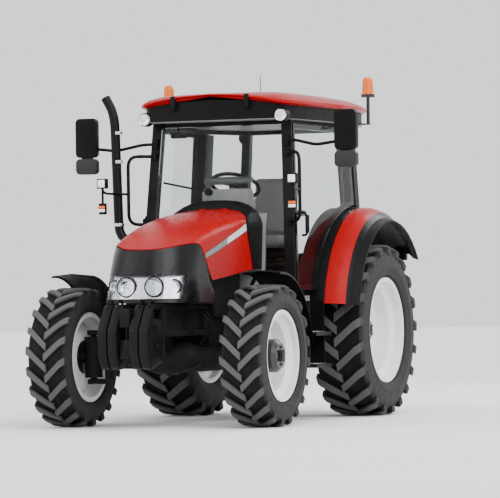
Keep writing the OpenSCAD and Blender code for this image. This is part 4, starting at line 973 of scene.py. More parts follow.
    @staticmethod
    def copy(obj: Piece, move: Matrix) -> Piece:
        """Copy of a piece with its own mesh, moved by a matrix.

        Args:
            obj: Piece to copy.
            move: Where the copy goes.

        Returns:
            The copy.
        """
        twin = obj.copy()
        twin.data = obj.data.copy()
        twin.data.transform(move)
        if move.determinant() < 0:
            twin.data.flip_normals()
        bpy.context.scene.collection.objects.link(twin)
        return twin

    @staticmethod
    def join(name: str, objs: Sequence[Piece]) -> Piece:
        """Make several pieces one.

        Args:
            name: Name of the joined piece.
            objs: Pieces to join.

        Returns:
            The joined piece.
        """
        Bench.clear()
        for obj in objs:
            obj.select_set(True)
        bpy.context.view_layer.objects.active = objs[0]
        bpy.ops.object.join()
        objs[0].name = name
        objs[0].data.name = name
        return objs[0]


@dataclass
class Assembly:
    """A group of pieces: the frame that they sit on, and the paints."""

    frame: Frame
    paints: Paints

    def add(self, obj: Piece, finish: str, body: str, slot: str) -> None:
        """Dress a piece, and let it ride on a body.

        Args:
            obj: Piece to add.
            finish: Name of its finish.
            body: CAD body that it moves with.
            slot: Not used.
        """
        Bench.smooth(obj)
        self.paints.dress(obj, finish)
        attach(obj, body)
        LOG.info("added %s on %s", obj.name, body)

    def pair(self, obj: Piece, finish: str, body: str, slot: str) -> None:
        """Add a left-hand piece and its mirror image, as one piece."""
        name = obj.name
        self.add(Bench.join(name, [obj, Bench.copy(obj, MIRROR)]), finish, body, slot)

    def slab(self, name: str, span: Span, width: float, turn: Point = (0, 0, 0)) -> Piece:
        """Rounded block between two corners measured from the rear axle.

        Args:
            name: Name of the piece.
            span: Lowest and highest corner.
            width: Rounding of its edges.
            turn: Angles about X, Y and Z.

        Returns:
            The block.
        """
        low, high = (self.frame.at(*corner) for corner in span)
        return Bench.block(name, low, high, width, turn)

    def rod(self, name: str, points: Iterable[Point], radius: float) -> Piece:
        """Round bar along points measured from the rear axle."""
        return Bench.pipe(name, [self.frame.at(*point) for point in points], radius)


@dataclass
class Wheel(Assembly):
    """Nuts, hub cap, valve and sidewall ridges of one wheel."""

    end: str
    side: str
    way: int
    nut_circle: float
    nuts: int = 8
    nut_size: Pair = (0.032, 0.018)
    screws: int = 6
    screw_circle: float = 0.062
    screw_size: Pair = (0.018, 0.009)
    cap_profile: Profile = (
        (0.046, 0.0),
        (0.046, 0.007),
        (0.041, 0.011),
        (0.030, 0.012),
        (0.027, 0.018),
        (0.012, 0.020),
        (0.0, 0.020),
    )
    ridge_shares: tuple[float, ...] = (0.70, 0.735, 0.88)
    ridge_w: float = 0.005
    ridge_steps: int = 96
    valve_r: float = 0.005
    valve_share: float = 1.55
    valve_angle: float = 0.9
    valve_reach: Pair = (0.022, 0.040)
    valve_lean: Place = (0.010, 0.0, 0.012)

    def __post_init__(self) -> None:
        """Find the wheel's place and its outward way."""
        self.name = f"{self.end}_{self.side}"
        self.centre = self.frame.joints[f"{self.name}_spin"]
        self.out = Vector((0, self.way, 0))

    def build(self) -> None:
        """Make and place the wheel's pieces."""
        body = f"wheel_{self.name}"
        self.add(self.bolts(), "casting", body, "dark_casting")
        self.add(self.cap(), "black_paint", body, "dark_casting")
        self.add(self.ridges(), f"rubber_{self.name}", body, "tyre_rubber")
        self.add(self.valve(), "soft_grip", body, "black_grip")

    def spot(self, part: str, radius: float = 0.0, angle: float = 0.0) -> Vector:
        """Place on the wheel's outer face.

        Args:
            part: The rim or the tyre.
            radius: Distance from the axle.
            angle: Angle round the axle.

        Returns:
            The place in the shared frame.
        """
        start = self.centre + Vector((math.cos(angle), 0, math.sin(angle))) * radius + self.out
        return self.frame.seat(f"{part}_{self.name}", start, -self.out)

    def bolts(self) -> Piece:
        """Wheel nuts round the hub, and small screws on its face.

        Returns:
            All of them as one piece.
        """
        made = []
        rings = (
            (self.nuts, self.nut_circle, self.nut_size),
            (self.screws, self.screw_circle, self.screw_size),
        )
        for count, circle, size in rings:
            for k in range(count):
                place = self.spot("rim", circle, 2 * math.pi * (k + 0.5) / count)
                made.append(Bench.nut("nut", place, self.out, *size))
        return Bench.join(f"nuts_{self.name}", made)

    def cap(self) -> Piece:
        """Stepped cap in the middle of the hub."""
        return Bench.lathe(f"hub_cap_{self.name}", self.cap_profile, self.spot("rim"), self.out)

    def ridges(self) -> Piece:
        """Thin rings on the tyre's outer sidewall.

        Returns:
            All rings as one piece.
        """
        made, w = [], self.ridge_w
        for share in self.ridge_shares:
            r = self.centre.z * share
            height = (self.spot("tyre", r) - self.centre).dot(self.out)
            profile = ((r - w, -w / 2), (r - w / 2, w / 2), (r + w / 2, w / 2), (r + w, -w / 2))
            middle = self.centre + self.out * height
            made.append(Bench.lathe("ridge", profile, middle, self.out, self.ridge_steps))
        return Bench.join(f"ridges_{self.name}", made)

    def valve(self) -> Piece:
        """Valve stem near the rim's edge.

        Returns:
            The bent stem.
        """
        root = self.spot("rim", self.nut_circle * self.valve_share, self.valve_angle)
        bend, tip = (root + self.out * reach for reach in self.valve_reach)
        return Bench.pipe(f"valve_{self.name}", (root, bend, tip + Vector(self.valve_lean)), self.valve_r)


@dataclass
class Headlamps(Assembly):
    """Bright housing and round bowls behind the lamp glass."""

    bowl_places: Profile = ((0.108, 0.064), (0.232, 0.042))
    mid_z: float = 1.02
    back: float = 0.055
    start_x: float = 1.0
    gap: float = 0.006
    # Radius and height, as shares of the bowl's radius
    bowl_shares: Profile = ((1.0, 0.0), (0.93, -0.22), (0.72, -0.45), (0.35, -0.62), (0.0, -0.66))
    # Radius, and height as a share of the bowl's radius
    bulb: Profile = ((0.012, -0.5), (0.012, -0.2), (0.007, -0.12), (0.0, -0.11))
    bulb_steps: int = 16
    # Radius beyond the bowl's edge, and height
    ring: Profile = ((0.0, -0.010), (0.0, 0.001), (0.004, 0.003), (0.011, 0.002), (0.013, -0.010))
    # Places round the bowl's edge that stay behind the glass
    edge_ways: Profile = ((1, 0), (-1, 0), (0, 1), (0, -1), (0, 0))

    def build(self) -> None:
        """Make the housing, the bowls and their rings."""
        lens = self.frame.node("headlamps")
        housing = Bench.copy(lens, Matrix.Translation((-self.back, 0, 0)))
        housing.modifiers.clear()
        housing.parent = None
        self.add(Bench.settle(housing, "lamp_housing"), "lamp_bowl", "hood", "silver_paint")
        bowls, rings = [], []
        for y, r in self.bowl_places:
            centre = self.behind(y, r)
            bowls.append(Bench.lathe("bowl", [(r * a, r * b) for a, b in self.bowl_shares], centre, AHEAD))
            bulb = [(bulb_r, r * share) for bulb_r, share in self.bulb]
            bowls.append(Bench.lathe("bulb", bulb, centre, AHEAD, self.bulb_steps))
            rings.append(Bench.lathe("ring", [(r + out, h) for out, h in self.ring], centre, AHEAD))
        self.pair(Bench.join("lamp_bowls", bowls), "chrome", "hood", "silver_paint")
        self.pair(Bench.join("lamp_rings", rings), "soft_grip", "hood", "black_plastic")

    def behind(self, y: float, r: float) -> Vector:
        """Middle of a bowl's edge, just behind the glass all round.

        Args:
            y: Place across the hood.
            r: Radius of the bowl.

        Returns:
            The place in the shared frame.
        """
        starts = [self.frame.at(self.start_x, y + a * r, self.mid_z + b * r) for a, b in self.edge_ways]
        least = min(self.frame.seat("headlamps", start, AHEAD).x for start in starts)
        return Vector((least - self.gap, y, self.mid_z))


@dataclass
class Seat(Assembly):
    """Driver's seat: two swollen pads, a folded bellows and arm rests."""

    pad_span: Span = ((0.034, -0.228, 1.322), (0.468, 0.228, 1.405))
    back_span: Span = ((-0.0785, -0.185, 1.40), (0.0065, 0.185, 1.88))
    back_lean: float = math.radians(-10)
    pad_round: float = 0.03
    voxel: float = 0.006
    pressure: float = 4.0
    frames: int = 20
    cap: float = 0.010
    folds: int = 5
    fold_grow: float = 0.012
    fold_x: Pair = (0.10, 0.40)
    fold_half_w: float = 0.15
    fold_low_z: float = 1.122
    rest_span: Span = ((0.0, 0.225, 1.57), (0.30, 0.275, 1.61))
    rest_round: float = 0.016
    link_span: Span = ((-0.05, 0.19, 1.565), (0.03, 0.245, 1.60))
    link_round: float = 0.008

    def build(self) -> None:
        """Make the pads, the bellows and the arm rests."""
        base = self.slab("pad", self.pad_span, self.pad_round)
        back = self.slab("back", self.back_span, self.pad_round, (0, self.back_lean, 0))
        pad = self.swell(Bench.join("seat_pad", [base, back]))
        self.add(pad, "seat_cloth", "chassis", "seat_cloth")
        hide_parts("seat")
        self.add(self.bellows(), "soft_grip", "chassis", "black_grip")
        rest = self.slab("arm_rests", self.rest_span, self.rest_round)
        link = self.slab("link", self.link_span, self.link_round)
        self.pair(Bench.join("arm_rests", [rest, link]), "dark_trim", "chassis", "black_plastic")

    def swell(self, obj: Piece) -> Piece:
        """Blow a pad up like stuffed cloth, with its movement capped.

        Args:
            obj: Pad of slightly smaller size.

        Returns:
            The same object, swollen and smoothed.
        """
        remesh = obj.modifiers.new("voxels", "REMESH")
        remesh.mode = "VOXEL"
        remesh.voxel_size = self.voxel
        Bench.apply(obj)
        rest = [v.co.copy() for v in obj.data.vertices]
        cloth = obj.modifiers.new("cloth", "CLOTH")
        cloth.settings.use_pressure = True
        cloth.settings.uniform_pressure_force = self.pressure
        cloth.settings.effector_weights.gravity = 0
        scene = bpy.context.scene
        for number in range(1, self.frames + 1):
            scene.frame_set(number)
        stuffed = obj.evaluated_get(bpy.context.evaluated_depsgraph_get())
        blown = [v.co.copy() for v in stuffed.data.vertices]
        obj.modifiers.remove(cloth)
        scene.frame_set(1)
        for vertex, start, end in zip(obj.data.vertices, rest, blown):
            move = end - start
            vertex.co = start + move * min(1.0, self.cap / max(move.length, MERGE))
        obj.modifiers.new("fine", "SUBSURF").levels = 1
        return Bench.apply(obj)

    def bellows(self) -> Piece:
        """Folded skirt of the seat's suspension.

        Returns:
            All folds as one piece.
        """
        made = []
        front, rear, half = self.fold_x[1], self.fold_x[0], self.fold_half_w
        step = (self.pad_span[0][2] - self.fold_low_z) / self.folds
        for k in range(self.folds):
            grow = self.fold_grow * (k % 2)
            z = self.fold_low_z + k * step
            span = ((rear - grow, -half - grow, z), (front + grow, half + grow, z + step))
            made.append(self.slab("fold", span, step / 3))
        return Bench.join("seat_bellows", made)


@dataclass
class CabInside(Assembly):
    """Dials, pedals, post trims and inner mirror of the cab."""

    hood_span: Span = ((0.86, -0.185, 1.80), (1.005, 0.185, 1.85))
    hood_round: float = 0.022
    hood_turn: float = math.radians(8)
    dial_place: Pair = (0.86, 1.765)
    dial_ys: tuple[float, ...] = (-0.115, 0.0, 0.115)
    dial_lean: float = math.radians(35)
    dial_start: float = 0.4
    dial_profile: Profile = ((0.042, -0.01), (0.042, 0.006), (0.038, 0.007), (0.036, 0.002), (0.0, 0.001))
    pedal_ys: tuple[float, ...] = (-0.20, -0.115, 0.16)
    pedal_place: Pair = (0.90, 1.02)
    pedal_size: Place = (0.012, 0.075, 0.09)
    pedal_round: float = 0.004
    pedal_turn: float = math.radians(-25)
    ribs: int = 4
    rib_place: Pair = (0.884, 1.036)
    rib_size: Pair = (0.012, 0.006)
    rib_step: Pair = (0.0085, 0.018)
    rib_share: float = 1 / 2.4
    rib_round: float = 0.002
    arm_line: Profile = ((0.91, 1.06), (0.99, 1.12), (1.02, 1.22), (1.04, 1.34))
    arm_r: float = 0.009
    trim_span: Span = ((-0.10, 0.560, 1.64), (0.010, 0.585, 2.23))
    trim_round: float = 0.010
    trim_lean: float = math.radians(3.5)
    mirror_span: Span = ((1.0, -0.44, 2.155), (1.03, -0.30, 2.205))
    mirror_round: float = 0.014
    mirror_turn: float = math.radians(10)
    stem_line: tuple[Place, ...] = ((1.02, -0.37, 2.19), (1.03, -0.37, 2.23), (1.04, -0.37, 2.262))
    stem_r: float = 0.007

    def build(self) -> None:
        """Make and place the pieces."""
        self.instruments()
        self.pedals()
        self.trims()

    def instruments(self) -> None:
        """Hooded panel with three dials behind the steering wheel."""
        hood = self.slab("dial_hood", self.hood_span, self.hood_round, (0, self.hood_turn, 0))
        self.add(hood, "dark_trim", "chassis", "black_plastic")
        lean = Vector((-math.cos(self.dial_lean), 0, math.sin(self.dial_lean)))
        x, z = self.dial_place
        starts = [self.frame.at(x, y, z) + lean * self.dial_start for y in self.dial_ys]
        places = [self.frame.seat("dash", start, -lean) for start in starts]
        dials = [Bench.lathe("dial", self.dial_profile, place, lean) for place in places]
        self.add(Bench.join("dials", dials), "gloss_black", "chassis", "black_plastic")

    def pedals(self) -> None:
        """Hanging pedals with ribbed pads."""
        made = []
        (x, z), (t, w, h) = self.pedal_place, self.pedal_size
        half = w * self.rib_share
        for y in self.pedal_ys:
            span = ((x, y - w / 2, z), (x + t, y + w / 2, z + h))
            made.append(self.slab("pedal", span, self.pedal_round, (0, self.pedal_turn, 0)))
            made.append(self.rod("arm", [(arm_x, y, arm_z) for arm_x, arm_z in self.arm_line], self.arm_r))
            for k in range(self.ribs):
                rib_x, rib_z = (start + k * step for start, step in zip(self.rib_place, self.rib_step))
                rib_t, rib_h = self.rib_size
                span = ((rib_x, y - half, rib_z), (rib_x + rib_t, y + half, rib_z + rib_h))
                made.append(self.slab("rib", span, self.rib_round))
        self.add(Bench.join("pedals", made), "casting", "chassis", "dark_casting")

    def trims(self) -> None:
        """Linings of the rear posts, and the mirror under the roof."""
        trim = self.slab("post_trims", self.trim_span, self.trim_round, (self.trim_lean, 0, 0))
        self.pair(trim, "dark_trim", "chassis", "grey_trim")
        mirror = self.slab("inner_mirror", self.mirror_span, self.mirror_round, (0, self.mirror_turn, 0))
        stem = self.rod("stem", self.stem_line, self.stem_r)
        self.add(Bench.join("inner_mirror", [mirror, stem]), "soft_grip", "chassis", "black_plastic")


@dataclass
class Screen(Assembly):
    """Wiper of the windscreen."""

    pivot: Pair = (-0.085, 1.735)
    tip: Pair = (-0.46, 1.815)
    start_x: float = 2.0
    out: Place = (1.0, 0.0, 0.1)
    lift: float = 0.012
    knob: Profile = ((0.03, -0.012), (0.03, 0.012), (0.024, 0.020), (0.0, 0.022))
    knob_steps: int = 24
    arm_r: float = 0.006
    arm_rise: float = 0.014
    arm_shares: Pair = (0.25, 0.7)
    blade_r: float = 0.008
    blade_shares: tuple[float, ...] = (0.25, 0.6, 1.0)

    def build(self) -> None:
        """Make motor cover, arm and blade."""
        starts = [self.frame.at(self.start_x, y, z) for y, z in (self.pivot, self.tip)]
        out = Vector(self.out).normalized()
        foot, tip = (self.frame.seat("cab_glass", start, BACK) + out * self.lift for start in starts)
        along = tip - foot
        bend, end = (foot + along * share for share in self.arm_shares)
        arm = Bench.pipe("arm", (foot, bend + out * self.arm_rise, end), self.arm_r)
        blade = Bench.pipe("blade", [foot + along * share for share in self.blade_shares], self.blade_r)
        knob = Bench.lathe("wiper", self.knob, foot, out, self.knob_steps)
        self.add(Bench.join("wiper", [knob, arm, blade]), "soft_grip", "chassis", "black_plastic")


@dataclass
class RoofTrim(Assembly):
    """Clips on the roof's brow, and bowls and glass of the work lamps."""

    clip_span: Span = ((1.232, 0.279, 2.352), (1.300, 0.321, 2.462))
    clip_round: float = 0.010
    # Where a line to each lamp starts, ahead of the cab and behind it
    lamp_starts: tuple[Place, ...] = ((2.0, 0.558, 2.296), (-2.0, 0.44, 2.218))
    lamp_r: float = 0.046
    # Radius as a share of the lamp's radius, and height
    bowl: Profile = ((1.0, -0.002), (1.0, 0.006), (0.9, 0.004), (0.45, 0.002), (0.0, 0.0015))
    spot: Profile = ((0.22, 0.0), (0.2, 0.006), (0.0, 0.008))
    spot_steps: int = 16
    lens: Profile = ((1.0, 0.004), (1.0, 0.008), (0.7, 0.012), (0.35, 0.0138), (0.0, 0.014))

    def build(self) -> None:
        """Make clips and lamps."""
        clip = self.slab("roof_clips", self.clip_span, self.clip_round)
        self.pair(clip, "black_plastic", "chassis", "black_plastic")
        profiles = (self.bowl, self.spot, self.lens)
        bowl, spot, lens = ([(self.lamp_r * share, h) for share, h in profile] for profile in profiles)
        bowls, lenses = [], []
        for start in self.lamp_starts:
            way, out = (BACK, AHEAD) if start[0] > 0 else (AHEAD, BACK)
            face = self.frame.seat("cab_lamps", self.frame.at(*start), way)
            bowls.append(Bench.lathe("bowl", bowl, face, out))
            bowls.append(Bench.lathe("spot", spot, face, out, self.spot_steps))
            lenses.append(Bench.lathe("lens", lens, face, out))
        self.pair(Bench.join("work_lamp_bowls", bowls), "chrome", "chassis", "silver_paint")
        self.pair(Bench.join("work_lamp_lenses", lenses), "lamp_lens", "chassis", "clear_lens")


@dataclass
class OuterLamps(Assembly):
    """Lenses of the small front lamps and indicators, and the rear lamps on the fenders."""

    lamp_place: Place = (2.2, 0.77, 1.806)
    half: float = 0.028
    # Tone, height and share of the full half height of each lens
    rows: tuple[tuple[str, float, float], ...] = (
        ("white", 1.806, 1.0),
        ("amber", 1.628, 1 / 2.6),
        ("white", 1.603, 1 / 2.6),
    )
    lens_x: Pair = (-0.002, 0.006)
    lens_round: float = 0.003
    rear_place: Place = (-2.0, 0.80, 1.30)
    base_half: Pair = (0.05, 0.09)
    base_x: Pair = (-0.035, 0.02)
    base_round: float = 0.008
    rear_lens_x: Pair = (-0.043, -0.033)
    rear_lens_round: float = 0.004
    edge: float = 0.008
    split_share: float = 0.25

    def build(self) -> None:
        """Make the front lenses and the rear lamps."""
        face_x = self.frame.seat("cab_lamps", self.frame.at(*self.lamp_place), BACK).x
        y, slots = self.lamp_place[1], {"white": "clear_lens", "amber": "amber_lens"}
        near_x, far_x = (face_x + stand for stand in self.lens_x)
        for tone, slot in slots.items():
            lenses = []
            for _, z, share in (row for row in self.rows if row[0] == tone):
                half_z = self.half * share
                low, high = (near_x, y - self.half, z - half_z), (far_x, y + self.half, z + half_z)
                lenses.append(Bench.block("lens", low, high, self.lens_round))
            self.pair(Bench.join(f"{tone}_lenses", lenses), f"{tone}_lens", "chassis", slot)
        self.rear()

    def rear(self) -> None:
        """Lamp blocks on the backs of the rear fenders."""
        place = self.frame.seat("rear_fenders", self.frame.at(*self.rear_place), AHEAD)
        half_y, half_z = self.base_half
        low, high = (Vector((x, way * half_y, way * half_z)) for x, way in zip(self.base_x, (-1, 1)))
        base = Bench.block("rear_lamp_bases", place + low, place + high, self.base_round)
        self.pair(base, "black_plastic", "chassis", "black_plastic")
        split = half_z * self.split_share
        y, (low_x, high_x) = half_y - self.edge, self.rear_lens_x
        rows = (("amber", "amber_lens", split, half_z), ("red", "red_paint", -half_z, split))
        for tone, slot, low_z, high_z in rows:
            low = place + Vector((low_x, -y, low_z + self.edge / 2))
            high = place + Vector((high_x, y, high_z - self.edge / 2))
            lens = Bench.block(f"rear_{tone}_lenses", low, high, self.rear_lens_round)
            self.pair(lens, f"{tone}_lens", "chassis", slot)


@dataclass
class FrontEnd(Assembly):
    """Handles and bolts on the weights, the strip under the nose, and oil pipes to the steered axle."""

    weight_ys: Pair = (0.083, 0.160)
    weight_share: float = 0.45
    handle_in: float = 0.006
    handle_size: Pair = (0.042, 0.034)
    # Shares of the handle's half length and height
    handle_line: Profile = ((-1, 0), (-1, 0.9), (-0.3, 1.15), (0.3, 1.15), (1, 0.9), (1, 0))
    handle_r: float = 0.010
    bolt_zs: Pair = (0.60, 0.74)
    bolt_size: Pair = (0.034, 0.016)
    bolt_start_y: float = 1.0
    seal_l: float = 0.50
    seal_half: float = 0.184
    seal_in: float = 0.004
    seal_gap: float = 0.006
    seal_round: float = 0.003
    pipe_xs: Pair = (2.01, 2.045)
    # Place from the pipe's x, and how much lower it lies on the second pipe
    pipe_line: tuple[tuple[float, float, float, float], ...] = (
        (0.0, 0.185, 0.84, 0.0),
        (-0.02, 0.24, 0.85, 0.02),
        (-0.03, 0.30, 0.74, 0.02),
        (0.0, 0.27, 0.66, 0.0),
        (0.02, 0.22, 0.60, 0.0),
    )
    pipe_r: float = 0.009

    def build(self) -> None:
        """Make handles, bolts, strip and pipes."""
        self.weights()
        self.seal()
        self.pipes()

    def weights(self) -> None:
        """Handles on top of the weights, and bolts through their sides."""
        low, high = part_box("front_weights")
        x = low.x + self.weight_share * (high.x - low.x)
        half, height = self.handle_size
        handles = []
        for y in self.weight_ys:
            foot = Vector((x, y, high.z - self.handle_in))
            line = [foot + Vector((half * along, 0, height * up)) for along, up in self.handle_line]
            handles.append(Bench.pipe("handle", line, self.handle_r))
        self.pair(Bench.join("weight_handles", handles), "casting", "chassis", "dark_casting")
        starts = [Vector((x, self.bolt_start_y, z)) for z in self.bolt_zs]
        places = [self.frame.seat("front_weights", start, (0, -1, 0)) for start in starts]
        bolts = [Bench.nut("bolt", place, (0, 1, 0), *self.bolt_size) for place in places]
        self.pair(Bench.join("weight_bolts", bolts), "casting", "chassis", "dark_casting")

    def seal(self) -> None:
        """Rubber strip on the front support, under the nose."""
        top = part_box("front_support")[1]
        low = Vector((top.x - self.seal_l, -self.seal_half, top.z - self.seal_in))
        high = Vector((top.x - self.seal_in, self.seal_half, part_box("hood_nose")[0].z - self.seal_gap))
        self.add(Bench.block("nose_seal", low, high, self.seal_round), "soft_grip", "chassis", "black_grip")

    def pipes(self) -> None:
        """Bent oil pipes from the front support down to the axle."""
        made = []
        for k, x in enumerate(self.pipe_xs):
            line = [(x + along, y, z - k * drop) for along, y, z, drop in self.pipe_line]
            made.append(self.rod("pipe", line, self.pipe_r))
        self.pair(Bench.join("axle_pipes", made), "casting", "chassis", "dark_casting")


@dataclass
class MirrorGlass(Assembly):
    """Glass of the outer mirrors."""

    mirror_y: float = 1.06
    start_x: float = 0.5
    # Height, half width and half height of each glass
    heads: tuple[Place, ...] = ((2.165, 0.062, 0.115), (1.945, 0.062, 0.036))
    glass_x: Pair = (-0.004, 0.002)
    glass_round: float = 0.002

    def build(self) -> None:
        """Make the glass of both mirrors."""
        glass = []
        for z, half_w, half_h in self.heads:
            face = self.frame.seat("mirrors", self.frame.at(self.start_x, self.mirror_y, z), AHEAD)
            low, high = (Vector((x, way * half_w, way * half_h)) for x, way in zip(self.glass_x, (-1, 1)))
            glass.append(Bench.block("glass", face + low, face + high, self.glass_round))
        self.pair(Bench.join("mirror_glass", glass), "chrome", "chassis", "silver_paint")


@dataclass
class DoorGrips(Assembly):
    """Soft sleeves on the loop handles of both doors."""

    handle: Place = (1.012, 0.669, 1.48)
    half: float = 0.068
    bore_r: float = 0.006
    end_r: float = 0.0132
    sleeve_r: float = 0.0165
    waist_r: float = 0.01551
    ease: float = 0.006
    steps: int = 24

    def build(self) -> None:
        """Make one sleeve for each door."""
        lower = ((self.bore_r, -self.half), (self.end_r, -self.half), (self.sleeve_r, self.ease - self.half))
        profile = (*lower, (self.waist_r, 0.0), *((r, -h) for r, h in reversed(lower)))
        x, y, z = self.handle
        for side, way in SIDES:
            sleeve = Bench.lathe(f"door_grip_{side}", profile, self.frame.at(x, way * y, z), UP, self.steps)
            self.add(sleeve, "soft_grip", f"door_{side}", "black_grip")


@dataclass
class Steps(Assembly):
    """Grip bars on the cab steps."""

    middle: Pair = (1.04, 0.70)
    levels: Pair = (1.0, 0.60)
    bars: int = 5
    pitch: float = 0.03
    half_l: float = 0.13
    half_w: float = 0.004
    bar_z: Pair = (-0.002, 0.005)
    bar_round: float = 0.002

    def build(self) -> None:
        """Lay bars on each tread."""
        made = []
        for level in self.levels:
            top = self.frame.seat("cab_steps", self.frame.at(*self.middle, level), (0, 0, -1))
            for k in range(self.bars):
                middle = top + Vector((0, (k - (self.bars - 1) / 2) * self.pitch, 0))
                low, high = (
                    middle + Vector((way * self.half_l, way * self.half_w, z))
                    for way, z in zip((-1, 1), self.bar_z)
                )
                made.append(Bench.block("bar", low, high, self.bar_round))
        self.pair(Bench.join("step_bars", made), "bright_steel", "chassis", "black_steel")


@dataclass
class RearEnd(Assembly):
    """Couplers on the lift case, splines of the power take-off and the top link's sleeve."""

    start_x: float = -2.0
    coupler_ys: Pair = (0.085, 0.145)
    coupler_z: float = 0.97
    coupler: Profile = (
        (0.020, -0.01),
        (0.020, 0.02),
        (0.024, 0.022),
        (0.024, 0.045),
        (0.020, 0.048),
        (0.013, 0.048),
        (0.012, 0.02),
        (0.0, 0.02),
    )
    coupler_steps: int = 24
    stub_z: float = 0.60
    stub_l: float = 0.11
    spline_count: int = 6
    spline_circle: float = 0.01645
    spline_half: Place = (0.049, 0.0035, 0.0022)
    spline_round: float = 0.001
    link_foot: Place = (-0.28, 0.0, 0.79)
    link_turn: float = math.radians(34)
    link_mid: float = 0.29
    sleeve: Profile = (
        (0.021, -0.085),
        (0.028, -0.077),
        (0.028, -0.05),
        (0.024, -0.045),
        (0.024, 0.045),
        (0.028, 0.05),
        (0.028, 0.077),
        (0.021, 0.085),
    )
    sleeve_sides: int = 6

    def build(self) -> None:
        """Seat the couplers on the rear face, and dress the stub and the top link."""
        starts = [self.frame.at(self.start_x, y, self.coupler_z) for y in self.coupler_ys]
        places = [self.frame.seat("gearbox", start, AHEAD) for start in starts]
        made = [Bench.lathe("coupler", self.coupler, place, BACK, self.coupler_steps) for place in places]
        self.pair(Bench.join("couplers", made), "bright_steel", "chassis", "dark_casting")
        self.splines()
        self.link_nut()

    def splines(self) -> None:
        """Splines round the power take-off stub."""
        tip = self.frame.seat("gearbox", self.frame.at(self.start_x, 0.0, self.stub_z), AHEAD)
        half, ribs = Vector(self.spline_half), []
        for k in range(self.spline_count):
            angle = 2 * math.pi * k / self.spline_count
            out = Vector((0, math.sin(angle), math.cos(angle))) * self.spline_circle
            middle = Vector((tip.x + self.stub_l / 2, 0, self.stub_z)) + out
            ribs.append(Bench.block("rib", middle - half, middle + half, self.spline_round, (-angle, 0, 0)))
        self.add(Bench.join("shaft_splines", ribs), "bright_steel", "chassis", "dark_casting")

    def link_nut(self) -> None:
        """Long nut of the top link, with its two locking rings."""
        axis = Vector((-math.cos(self.link_turn), 0, math.sin(self.link_turn)))
        middle = self.frame.at(*self.link_foot) + axis * self.link_mid
        nut = Bench.lathe("link_sleeve", self.sleeve, middle, axis, self.sleeve_sides)
        self.add(nut, "bright_steel", "chassis", "dark_casting")


@dataclass
class Exhaust(Assembly):
    """Clamps round the exhaust pipe."""

    pipe_place: Pair = (1.27, -0.767)
    start: float = 0.5
    clamp_zs: tuple[float, ...] = (1.50, 1.98, 2.20)
    # Radius beyond the pipe's, and height
    clamp: Profile = ((-0.001, -0.011), (0.004, -0.011), (0.005, 0.0), (0.004, 0.011), (-0.001, 0.011))

    def build(self) -> None:
        """Make one ring at each height."""
        made = []
        for z in self.clamp_zs:
            middle = self.frame.at(*self.pipe_place, z)
            r = (self.frame.seat("exhaust", middle + Vector((self.start, 0, 0)), BACK) - middle).length
            made.append(Bench.lathe("clamp", [(r + out, h) for out, h in self.clamp], middle, UP))
        self.add(Bench.join("exhaust_clamps", made), "bright_steel", "chassis", "black_steel")


@dataclass
class Castings:
    """Finish of every CAD node that is shown as it is."""

    frame: Frame
    paints: Paints
    eased: tuple[str, ...] = (
        "front_weights",
        "front_support",
        "dash",
        "side_console",
        "side_tanks",
        "mirrors",
    )
    ease_w: float = 0.008
    ease_from: float = math.radians(50)
    sharp_from: float = math.radians(32)

    @staticmethod
    def finishes() -> dict[str, str]:
        """Finish of each CAD node.

        Returns:
            Names of finishes by node.
        """
        groups = {
            "striped_red": "hood_shell",
            "roof_red": "roof_cap",
            "floor_grey": "cab_floor",
            "fender_red": "rear_fenders",
            "mirror_black": "mirrors",
            "gloss_black": "hood_nose",
            "lined_black": "roof_lining",
            "black_plastic": "cowl fender_flares front_fender_left front_fender_right "
            "side_tanks wheel_houses side_console cab_lamps",
            "black_paint": "cab_frame door_left_frame door_right_frame exhaust cab_steps "
            "radiator front_weights",
            "casting": "front_support front_axle drive_shaft engine_block gearbox rear_axle knuckle_left "
            "knuckle_right track_rod drawbar top_link lower_links lift_arms lift_rods",
            "front_rim": "rim_front_left rim_front_right",
            "rear_rim": "rim_rear_left rim_rear_right",
            **{f"rubber_{wheel}": f"tyre_{wheel}" for wheel in WHEELS},
            "window_glass": "cab_glass door_left_glass door_right_glass",
            "grey_trim": "dash seat",
            "soft_grip": "steering_wheel",
            "lamp_lens": "headlamps",
            "beacon": "beacons",
        }
        return {node: finish for finish, nodes in groups.items() for node in nodes.split()}

    def dress(self) -> None:
        """Give each node its finish, with its edges eased or kept sharp by modifiers."""
        for node, finish in self.finishes().items():
            obj = self.frame.node(node)
            self.paints.dress(obj, finish)
            Bench.pick(obj)
            bpy.ops.object.shade_smooth()
            obj.modifiers.new("weld", "WELD").merge_threshold = MERGE
            if node in self.eased:
                self.ease(obj)
            else:
                obj.modifiers.new("edges", "EDGE_SPLIT").split_angle = self.sharp_from
            LOG.info("dressed %s in %s", node, finish)

    def ease(self, obj: Piece) -> None:
        """Ease a node's sharp edges for the eye, by a modifier that leaves its mesh alone.

        Args:
            obj: CAD object.
        """
        bevel = obj.modifiers.new("ease", "BEVEL")
        bevel.width = self.ease_w
        bevel.segments = 2
        bevel.limit_method = "ANGLE"
        bevel.angle_limit = self.ease_from
        bevel.harden_normals = True


